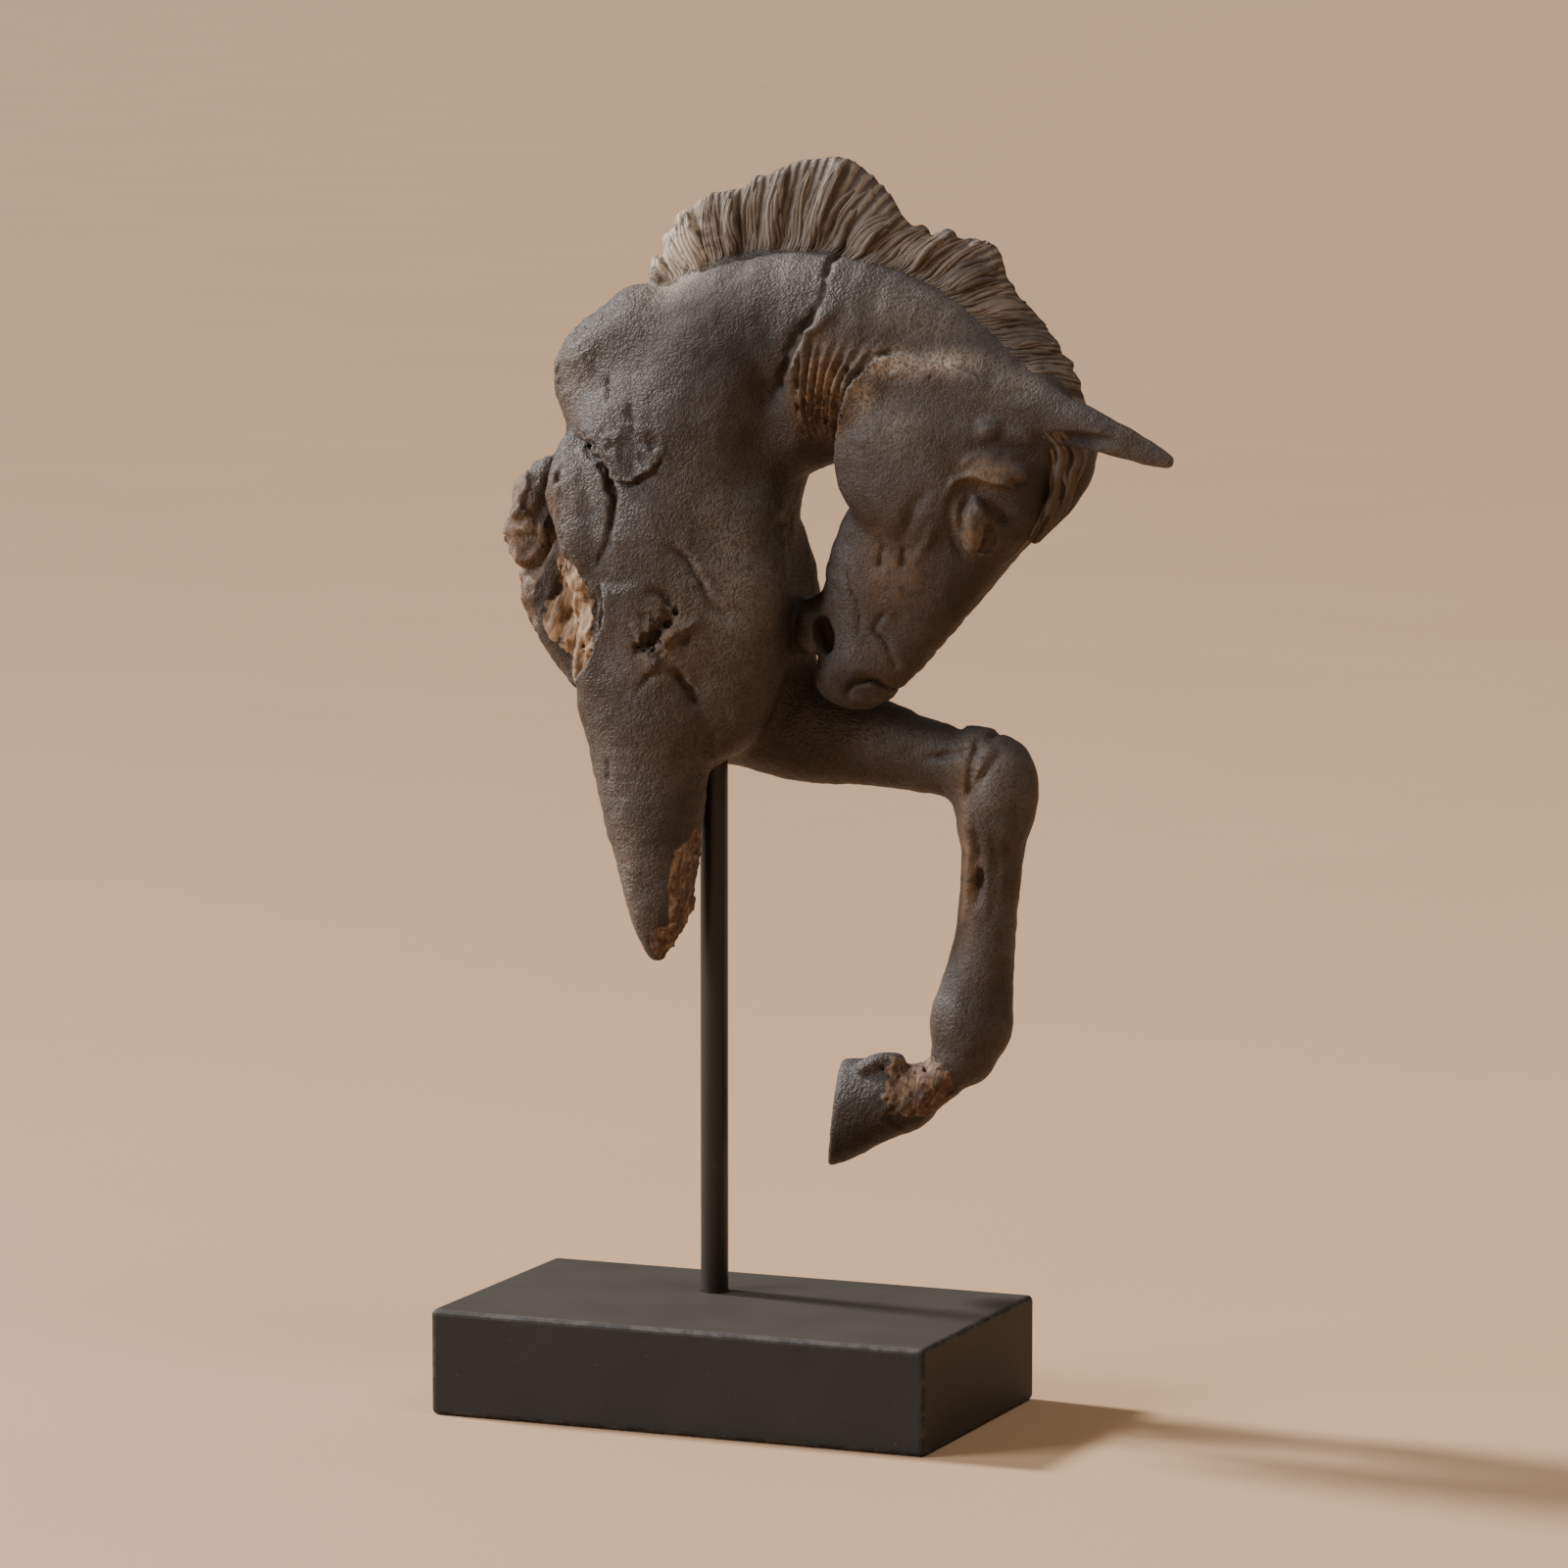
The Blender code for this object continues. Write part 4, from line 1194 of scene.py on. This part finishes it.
def base_finish(nodes, settings):
    """Matt black, lighter on top with a dusty bloom and painted sheen, with a warmer end grain and chafed
    pale edges.
    """
    low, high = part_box("base")
    middle = tuple((a + b) / 2 for a, b in zip(low, high))
    halves = tuple((b - a) / 2 for a, b in zip(low, high))
    place = nodes.place()
    centred = nodes.vector("SUBTRACT", place, middle)
    split = nodes.add("ShaderNodeSeparateXYZ", {}, {0: centred})
    sides = [Value(nodes, socket) for socket in split.socket.node.outputs]
    near = [halves[i] - sides[i].absolute() for i in range(3)]
    edge_gap = [near[i] + near[j] for i, j in ((0, 1), (1, 2), (0, 2))]
    gap = edge_gap[0].at_most(edge_gap[1]).at_most(edge_gap[2])
    chatter = nodes.noise(place, 5 * MM, 4.0, 0.65)
    brushed = nodes.noise(nodes.vector("MULTIPLY", place, (0.12, 1, 1)), 1.0 * MM, 3.0, 0.6)
    grain = nodes.noise(place, 0.45 * MM, 2.0)
    smudge = nodes.noise(place, 34 * MM, 3.0)
    specks = nodes.noise(place, 1.6 * MM, 2.0)
    edge = gap.step(2.6 * MM, 1.0 * MM) * chatter.step(0.42, 0.60)
    colour = nodes.mix(smudge.step(0.35, 0.7), settings.base_black, settings.base_dust)
    ends = sides[0].absolute().step(halves[0] - 0.6 * MM, halves[0] - 0.1 * MM)
    colour = nodes.mix(ends * (0.5 + 0.5 * smudge), colour, settings.base_end)
    # Painted sheen and a dusty bloom on the top face
    settled_and_lit = sides[2].step(halves[2] - 0.6 * MM, halves[2] - 0.1 * MM)
    colour = nodes.mix(settled_and_lit * (0.5 + 0.5 * smudge), colour, settings.base_top)
    colour = nodes.mix(specks.step(0.70, 0.78) * 0.5, colour, settings.base_wear)
    colour = nodes.mix(edge * 0.5, colour, settings.base_wear)
    return {
        "Base Color": colour,
        "Roughness": 0.56 + 0.16 * smudge - 0.10 * edge,
        "Normal": nodes.bump(0.03 * grain + 0.04 * brushed),
        "Specular IOR Level": 0.36,
    }


def floor_finish(nodes, settings):
    """A pale, slightly cloudy floor."""
    place = nodes.place()
    cloud = nodes.noise(place, 0.35, 3.0)
    grain = nodes.noise(place, 2 * MM, 2.0)
    colour = nodes.mix(cloud.step(0.3, 0.7), settings.floor_pale, settings.floor_shade)
    return {"Base Color": colour, "Roughness": 0.85 + 0.1 * grain, "Normal": nodes.bump(0.02 * grain)}


# --- Settings -------------------------------------------------------------------------------

def colour_property(name, description, default):
    return FloatVectorProperty(
        name=name, description=description, subtype="COLOR", size=3, min=0, max=1, default=default,
    )


def length_property(name, description, default):
    return FloatProperty(name=name, description=description, default=default, min=0, unit="LENGTH",
                         subtype="DISTANCE", precision=5)


def angle_property(name, description, degrees):
    return FloatProperty(name=name, description=description, default=math.radians(degrees), subtype="ANGLE",
                         unit="ROTATION")


def count_property(name, description, default):
    return IntProperty(name=name, description=description, default=default, min=2)


class CastingSettings(bpy.types.PropertyGroup):
    """Sizes and colours of the cast horse"""
    fineness: length_property("Fineness", "Distance between the casting's points", 0.85 * MM)
    triangles: count_property("Triangles", "The most that the casting may have", 196000)
    undulation: length_property("Undulation", "How far the broad unevenness stands proud", 0.45 * MM)
    wrinkle_size: length_property("Wrinkle size", "Distance between the leathery skin's wrinkles", 1.7 * MM)
    resin_brown: colour_property("Brown", "Resin in the hollows of the form", (0.038, 0.027, 0.019))
    resin_grey: colour_property("Grey", "Resin on the open skin", (0.058, 0.046, 0.040))
    # Painted sheen and a dusty bloom on what faces up
    dust_and_sheen_grey: colour_property("Dust", "Bloom on what faces up", (0.060, 0.052, 0.052))
    # Painted shade: hollows and shaded patches are darkened to this, as is the skin's darker mottling
    resin_dark_and_shade: colour_property("Dark", "Dirt in pits and cracks", (0.010, 0.006, 0.004))
    warm_brown: colour_property("Warm brown", "Skin with an orange cast", (0.235, 0.140, 0.073))
    # Pale rubbed resin, also used as painted light on lit parts
    worn_and_lit_grey: colour_property("Worn", "Rubbed ridges", (0.43, 0.365, 0.295))
    mane_brown: colour_property("Mane", "Resin of the mane", (0.130, 0.099, 0.072))
    ridges: FloatProperty(name="Ridges", description="Ridges on the mane between two guides", default=3.1)
    # Painted shade in the mane's grooves; also the tone of the darker strands
    mane_shadow: colour_property("Mane shadow", "Resin between the mane's strands", (0.048, 0.034, 0.025))
    raw_tan: colour_property("Raw tan", "Bare broken resin", (0.33, 0.225, 0.140))
    raw_rust: colour_property("Raw rust", "Rusty broken resin", (0.118, 0.066, 0.043))


class ManeSettings(bpy.types.PropertyGroup):
    """Sizes of the mane's strands"""
    near_strands: count_property("Near strands", "Strands on the near side", 150)
    far_strands: count_property("Far strands", "Strands on the far side", 104)
    forelock_strands: count_property("Forelock strands", "Strands on each side of the forehead", 9)
    thickness: length_property("Thickness", "Half thickness of a strand", 0.98 * MM)
    waviness: length_property("Waviness", "How far a strand wanders", 1.6 * MM)
    seed: IntProperty(name="Seed", description="Which set of random strands", default=4)


class StandSettings(bpy.types.PropertyGroup):
    """Colours of the rod and the block"""
    rod_black: colour_property("Rod", "Satin black", (0.016, 0.013, 0.0105))
    rod_wear: colour_property("Rod wear", "Specks on the rod", (0.035, 0.032, 0.030))
    base_black: colour_property("Block", "Matt black", (0.0095, 0.0085, 0.0072))
    base_dust: colour_property("Block dust", "Matt black with dust", (0.0145, 0.013, 0.011))
    base_end: colour_property("Block end", "Matt black on the end grain", (0.040, 0.029, 0.018))
    # Painted sheen on the top face, with a dusty bloom
    base_top: colour_property("Block top", "Matt black with settled dust", (0.038, 0.031, 0.024))
    base_wear: colour_property("Block wear", "Rubbed edges", (0.075, 0.065, 0.055))


class StageSettings(bpy.types.PropertyGroup):
    """Floor, light and camera"""
    floor_pale: colour_property("Floor", "Pale floor", (0.46, 0.290, 0.170))
    floor_shade: colour_property("Floor shade", "Cloudy parts of the floor", (0.445, 0.280, 0.164))
    sky: colour_property("Sky", "Light from all round", (0.90, 0.76, 0.62))
    sky_strength: FloatProperty(name="Sky strength", description="Strength of that light", default=0.22)
    floor_radius: length_property("Floor radius", "Half width of the round floor", 60.0)
    azimuth: angle_property("Azimuth", "Camera's turn from the side view", 22.588)
    elevation: angle_property("Elevation", "Camera's height above level", 7.112)
    distance: length_property("Distance", "From the camera to its target", 2.6087)
    lens: FloatProperty(name="Lens", description="Focal length in millimetres", default=168.6)
    target: FloatVectorProperty(name="Target", description="What the camera looks at", size=3,
                                subtype="XYZ", unit="LENGTH", default=(0.01956, 0.0, 0.22694))


# --- Pieces ---------------------------------------------------------------------------------

def settle(piece):
    piece.data.shade_smooth()
    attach(piece, "root")


# The skin's broad unevenness: how strong each noise is, its size and its seed
UNDULATIONS = [(1.3, 19, 10), (0.9, 9, 11), (0.5, 4.5, 12), (0.3, 2.4, 13)]


def roughened(points, normals, amount):
    """Points moved along their normals by noise of several sizes."""
    push = sum(strength * wander(points, size, seed) for strength, size, seed in UNDULATIONS)
    return points + normals * (amount * push)[:, None]


def whole_box():
    """The whole's low and high corner in millimetres."""
    return tuple(np.array(corner) / MM for corner in CAD_BOX)


def kept_inside(points, low, high):
    """Points moved, where need be, to just inside a box."""
    return np.clip(points, low + 0.02, high - 0.02)


def tints(points, names):
    """How strongly each of these tints lies on each point."""
    amounts = {name: np.zeros(len(points)) for name in names}
    for name in names:
        for centre, reach, strength in TINTS[name]:
            amounts[name] = np.maximum(amounts[name], strength * soft_patch(points, centre, reach))
    return amounts


class HORSE_OT_cast(bpy.types.Operator):
    """Models the cast horse from its forms, lines and breaks"""
    bl_idname = "horse_casting.cast"
    bl_label = "Cast the horse"

    def execute(self, context):
        settings = context.scene.casting
        low, high = whole_box()
        low[2] = CASTING_FOOT
        step = settings.fineness / MM * 1
        clay = horse_clay()
        points, quads = surface(clay.level, low - 4, high + 4, step)
        points = roughened(points, quad_normals(points, quads), settings.undulation / MM)
        points = kept_inside(points, low, high)
        horse = mesh_object("horse_casting", points * MM, quads)
        wanted = settings.triangles / (2 * len(quads))
        if wanted < 1:
            decimate = horse.modifiers.new("Thin", "DECIMATE")
            decimate.ratio = wanted
            apply_modifiers(horse)
        drop_crumbs(horse.data)
        self.tint(horse.data)
        horse.data.materials.append(new_material("cast_resin", resin_finish, settings))
        settle(horse)
        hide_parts("horse")
        return {"FINISHED"}

    @staticmethod
    def tint(mesh):
        """Stores what the finish needs to know about each point of the casting."""
        points = vectors(mesh) / MM
        amounts = {"raw": np.zeros(len(points)), "rust": np.zeros(len(points))}
        for centre, reach, _, _, _, _, raw, rust in BROKEN:
            here = patch(points, centre, reach)
            amounts["raw"] = np.maximum(amounts["raw"], here * raw)
            amounts["rust"] = np.maximum(amounts["rust"], here * rust)
        amounts |= tints(points, ("warm", "worn_and_lit", "shade"))
        curve = bending(mesh)
        # Hollow marks where painted shade is laid in the form's hollows; ridge, where ridges are rubbed pale
        amounts["hollow"] = smoothly(curve, 0.10, 0.75)
        amounts["ridge"] = smoothly(-curve, 0.10, 0.70)
        amounts["dust_and_sheen"] = dust_and_sheen(mesh)
        amounts["mane"] = mane_share(points)
        amounts["comb"] = comb_place(points, amounts["mane"])
        for name, values in amounts.items():
            store(mesh, name, values)


def strand_tree():
    """Turns edges into tapered, slightly wavy strands."""
    tree = bpy.data.node_groups.new("Strands", "GeometryNodeTree")
    sockets = [
        ("Edges", "NodeSocketGeometry"), ("Thickness", "NodeSocketFloat"), ("Waviness", "NodeSocketFloat"),
        ("Wave size", "NodeSocketFloat"), ("Sides", "NodeSocketInt"),
        ("Seed", "NodeSocketInt"), ("Material", "NodeSocketMaterial"),
    ]
    names = {
        label: tree.interface.new_socket(label, in_out="INPUT", socket_type=kind).identifier
        for label, kind in sockets
    }
    tree.interface.new_socket("Strands", in_out="OUTPUT", socket_type="NodeSocketGeometry")
    nodes = Nodes(tree)
    given = tree.nodes.new("NodeGroupInput")
    inputs = {label: Value(nodes, given.outputs[label]) for label, _ in sockets}

    strand = nodes.add("GeometryNodeInputNamedAttribute", {"data_type": "INT"}, {"Name": "strand"})
    tone = nodes.add(
        "FunctionNodeRandomValue", {"data_type": "FLOAT"}, {"ID": strand, "Seed": inputs["Seed"]}, output=1,
    )
    place = nodes.add("GeometryNodeInputPosition")
    drift = nodes.add(
        "ShaderNodeTexNoise", {"noise_dimensions": "4D"},
        {"Vector": place, "W": tone * 20.0, "Scale": 1 / inputs["Wave size"], "Detail": 1.0}, output=1,
    )
    push = nodes.push(drift, inputs["Waviness"])
    moved = nodes.add("GeometryNodeSetPosition", {}, {"Geometry": inputs["Edges"], "Offset": push})
    toned = nodes.add(
        "GeometryNodeStoreNamedAttribute", {"data_type": "FLOAT", "domain": "POINT"},
        {"Geometry": moved, "Name": "tone", "Value": tone},
    )
    curves = nodes.add("GeometryNodeMeshToCurve", {}, {"Mesh": toned})
    share = nodes.add("GeometryNodeSplineParameter")
    taper = share.step(-0.25, 0.3) * (0.35 + 0.65 * share.step(1.04, 0.6))
    width = nodes.add("GeometryNodeInputNamedAttribute", {"data_type": "FLOAT"}, {"Name": "width"})
    radius = inputs["Thickness"] * width * taper * (0.6 + 0.8 * tone)
    ring = nodes.add(
        "GeometryNodeCurvePrimitiveCircle", {"mode": "RADIUS"},
        {"Resolution": inputs["Sides"], "Radius": 1.0},
    )
    tubes = nodes.add(
        "GeometryNodeCurveToMesh", {},
        {"Curve": curves, "Profile Curve": ring, "Scale": radius, "Fill Caps": True},
    )
    smooth = nodes.add("GeometryNodeSetShadeSmooth", {}, {"Geometry": tubes})
    real = nodes.add("GeometryNodeRealizeInstances", {}, {"Geometry": smooth})
    finished = nodes.add(
        "GeometryNodeSetMaterial", {}, {"Geometry": real, "Material": inputs["Material"]},
    )
    nodes.add("NodeGroupOutput", {}, {"Strands": finished})
    return tree, names


class HORSE_OT_mane(bpy.types.Operator):
    """Lays the mane's and the forelock's strands on the casting"""
    bl_idname = "horse_casting.mane"
    bl_label = "Lay the mane"

    # Points of a strand before it is laid on the casting, and the fewest that it may keep
    POINTS = 22
    FEWEST_POINTS = 4
    # Steps between two guides, and how far from the mid-plane a strand is dropped from
    GUIDE_STEPS = 8
    DROP = 60
    # The forelock hangs between these two lines, given by x and z
    FORELOCK = [
        [(127, 356), (130.5, 349), (130.8, 342), (128.5, 335), (122, 326.5), (113.5, 318.5), (104.5, 310.5),
         (96.5, 304)],
        [(115, 356), (118, 348), (116, 340), (116.5, 333), (113, 325), (107, 317), (100, 309), (94, 303)],
    ]

    def execute(self, context):
        settings = context.scene.mane
        casting = bpy.data.objects["horse_casting"].data
        self.tree = BVHTree.FromPolygons(
            (vectors(casting) / MM).tolist(), [tuple(face.vertices) for face in casting.polygons],
        )
        self.random = np.random.default_rng(settings.seed)
        strands = []
        for side, count in ((NEAR, settings.near_strands), (FAR, settings.far_strands)):
            strands += [
                self.mane_strand((i + self.random.uniform(0.15, 0.85)) / count, side) for i in range(count)
            ]
        for side in (NEAR, FAR):
            count = settings.forelock_strands
            strands += [self.forelock_strand(i / count, side) for i in range(count)]
        mane = self.edges(strands)
        tree, names = strand_tree()
        modifier = mane.modifiers.new("Strands", "NODES")
        modifier.node_group = tree
        values = {
            "Thickness": settings.thickness, "Waviness": settings.waviness,
            "Wave size": 9 * MM, "Sides": 7, "Seed": settings.seed,
            "Material": new_material("mane_resin", mane_finish, context.scene.casting),
        }
        for label, value in values.items():
            modifier[names[label]] = value
        apply_modifiers(mane)
        self.tint(mane.data)
        settle(mane)
        return {"FINISHED"}

    def mane_strand(self, share, side):
        """Points of one strand, from its root at the crest to its tip, and its width."""
        guides = np.array(MANE_GUIDES, float)
        last = len(guides) - 1
        place = share * last
        lock = round(place)
        rows = through(guides, self.GUIDE_STEPS * last + 1)
        points = []
        reach = 1.05 if self.random.random() < 0.75 else self.random.uniform(0.6, 0.95)
        for t in np.linspace(-0.12, reach, self.POINTS):
            drawn = place + (lock - place) * 0.6 * max(t, 0) ** 1.5
            at = np.clip(drawn, 0, last) * self.GUIDE_STEPS
            root_x, root_z, tip_x, tip_z = between(rows, at)
            bow = (0.05 + 0.09 * share) * math.sin(math.pi * np.clip(t, 0, 1))
            x = root_x + (tip_x - root_x) * t - (tip_z - root_z) * bow
            z = root_z + (tip_z - root_z) * t + (tip_x - root_x) * bow
            points.append((x, z))
        return self.laid(points, side, self.random.uniform(0.1, 0.9)), self.random.uniform(0.65, 1.3)

    def laid(self, flat, side, sink):
        """Drops a side view line on to the casting's near or far side, as far as the casting goes."""
        depths = []
        for x, z in flat:
            start = Vector((x, MIDPLANE + side * self.DROP, z))
            hit = self.tree.ray_cast(start, Vector((0, -side, 0)), self.DROP)[0]
            if hit is None:
                break
            depths.append(abs(hit.y - MIDPLANE) - sink)
        depths = np.array(depths)
        for _ in range(3):
            depths[1:-1] = (depths[:-2] + depths[1:-1] + depths[2:]) / 3
        return [(x, MIDPLANE + side * depth, z) for (x, z), depth in zip(flat, depths)]

    def forelock_strand(self, share, side):
        """One strand of the forelock, from under the ear down the forehead to the nose."""
        borders = [through(line, self.POINTS) for line in self.FORELOCK]
        wave, length = self.random.uniform(0, 6), self.random.uniform(0.72, 1)
        path = []
        for i in range(self.POINTS):
            t = i / (self.POINTS - 1)
            at = min(t * length, 1) * (self.POINTS - 1)
            row = [between(line, at) for line in borders]
            sway = 0.08 * math.sin(wave + 10 * t)
            path.append(row[0] * (1 - share - sway) + row[1] * (share + sway))
        return self.laid(path, side, self.random.uniform(0.5, 1.2)), self.random.uniform(1.1, 1.7)

    def edges(self, strands):
        """An object of loose edges, one line for each strand that found the casting."""
        points, edges, numbers, widths = [], [], [], []
        for number, (strand, width) in enumerate(strands):
            if len(strand) < self.FEWEST_POINTS:
                continue
            start = len(points)
            points += strand
            edges += [(start + i, start + i + 1) for i in range(len(strand) - 1)]
            numbers += [number] * len(strand)
            widths += [width] * len(strand)
        made = mesh_object("mane_strands", np.array(points) * MM, (), edges)
        attribute = made.data.attributes.new("strand", "INT", "POINT")
        attribute.data.foreach_set("value", np.array(numbers, np.int32))
        store(made.data, "width", widths)
        return made

    @staticmethod
    def tint(mesh):
        """Keeps the strands inside the whole's box and stores what their finish needs."""
        points = kept_inside(vectors(mesh) / MM, *whole_box())
        mesh.vertices.foreach_set("co", (points * MM).ravel())
        for name, values in tints(points, ("worn_and_lit", "shade")).items():
            store(mesh, name, values)
        store(mesh, "dust_and_sheen", dust_and_sheen(mesh))


class HORSE_OT_stand(bpy.types.Operator):
    """Finishes the rod and the block"""
    bl_idname = "horse_casting.stand"
    bl_label = "Finish the stand"

    def execute(self, context):
        settings = context.scene.stand
        for node, finish in (("rod", rod_finish), ("base", base_finish)):
            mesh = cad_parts[node].data
            mesh.materials.clear()
            mesh.materials.append(new_material(node + "_black", finish, settings))
        return {"FINISHED"}


class HORSE_OT_stage(bpy.types.Operator):
    """Sets the floor, the lights and the camera"""
    bl_idname = "horse_casting.stage"
    bl_label = "Set the stage"

    # Name, place, what it points at, width and height, power and colour. The sun's size is an angle.
    LIGHTS = [
        ("key", (-1.6, 0.14, 1.5), (0.0, 0.0, 0.25), math.radians(8), 6.4, (1.0, 0.965, 0.93)),
        ("front", (-2.05, -1.6, 1.35), (0.0, 0.0, 0.30), (1.1, 1.0), 96, (0.97, 0.97, 1.0)),
        ("rim", (0.9, -0.3, 1.7), (0.0, 0.0, 0.30), (0.6, 0.6), 10, (1.0, 0.92, 0.84)),
    ]

    def execute(self, context):
        settings = context.scene.stage
        self.floor(settings)
        for light in self.LIGHTS:
            self.light(*light)
        self.sky(context.scene, settings)
        self.camera(context.scene, settings)
        return {"FINISHED"}

    @staticmethod
    def floor(settings):
        sides, radius = 96, settings.floor_radius
        turns = [2 * math.pi * i / sides for i in range(sides)]
        ring = [(radius * math.cos(turn), radius * math.sin(turn), 0.0) for turn in turns]
        floor = mesh_object("floor", ring, [tuple(range(sides))])
        floor.data.materials.append(new_material("pale_floor", floor_finish, settings))

    @staticmethod
    def light(name, place, target, size, power, colour):
        if isinstance(size, tuple):
            lamp = bpy.data.lights.new(name, "AREA")
            lamp.shape = "RECTANGLE"
            lamp.size, lamp.size_y = size
        else:
            lamp = bpy.data.lights.new(name, "SUN")
            lamp.angle = size
        lamp.energy = power
        lamp.color = colour
        new_object(name, lamp, place, Vector(target) - Vector(place))

    @staticmethod
    def sky(scene, settings):
        world = bpy.data.worlds.new("sky")
        world.use_nodes = True
        background = world.node_tree.nodes["Background"]
        background.inputs["Color"].default_value = (*settings.sky, 1)
        background.inputs["Strength"].default_value = settings.sky_strength
        scene.world = world

    @staticmethod
    def camera(scene, settings):
        target = Vector(settings.target)
        level = math.cos(settings.elevation)
        back = Vector((
            math.sin(settings.azimuth) * level, -math.cos(settings.azimuth) * level,
            math.sin(settings.elevation),
        ))
        data = bpy.data.cameras.new("camera")
        data.lens = settings.lens
        data.clip_end = 200
        scene.camera = new_object("camera", data, target + back * settings.distance, -back)


class HORSE_PT_panel(bpy.types.Panel):
    """The casting's steps and settings"""
    bl_idname = "HORSE_PT_panel"
    bl_label = "Broken horse casting"
    bl_space_type = "VIEW_3D"
    bl_region_type = "UI"
    bl_category = "Casting"

    def draw(self, context):
        for heading, name, _, step in STEPS:
            box = self.layout.box()
            box.label(text=heading)
            settings = getattr(context.scene, name)
            for key in settings.__annotations__:
                box.prop(settings, key)
            box.operator(step.bl_idname)


# The steps in order: heading, the settings' name on the scene, the settings and the operator
STEPS = [
    ("Horse", "casting", CastingSettings, HORSE_OT_cast),
    ("Mane", "mane", ManeSettings, HORSE_OT_mane),
    ("Stand", "stand", StandSettings, HORSE_OT_stand),
    ("Stage", "stage", StageSettings, HORSE_OT_stage),
]
CLASSES = [made for step in STEPS for made in step[2:]] + [HORSE_PT_panel]


def register():
    for made in CLASSES:
        bpy.utils.register_class(made)
    for _, name, group, _ in STEPS:
        setattr(bpy.types.Scene, name, PointerProperty(type=group))


def unregister():
    for _, name, _, _ in STEPS:
        delattr(bpy.types.Scene, name)
    for made in reversed(CLASSES):
        bpy.utils.unregister_class(made)


def main():
    register()
    bpy.ops.horse_casting.cast()
    bpy.ops.horse_casting.mane()
    bpy.ops.horse_casting.stand()
    bpy.ops.horse_casting.stage()


if __name__ == "__main__":
    main()
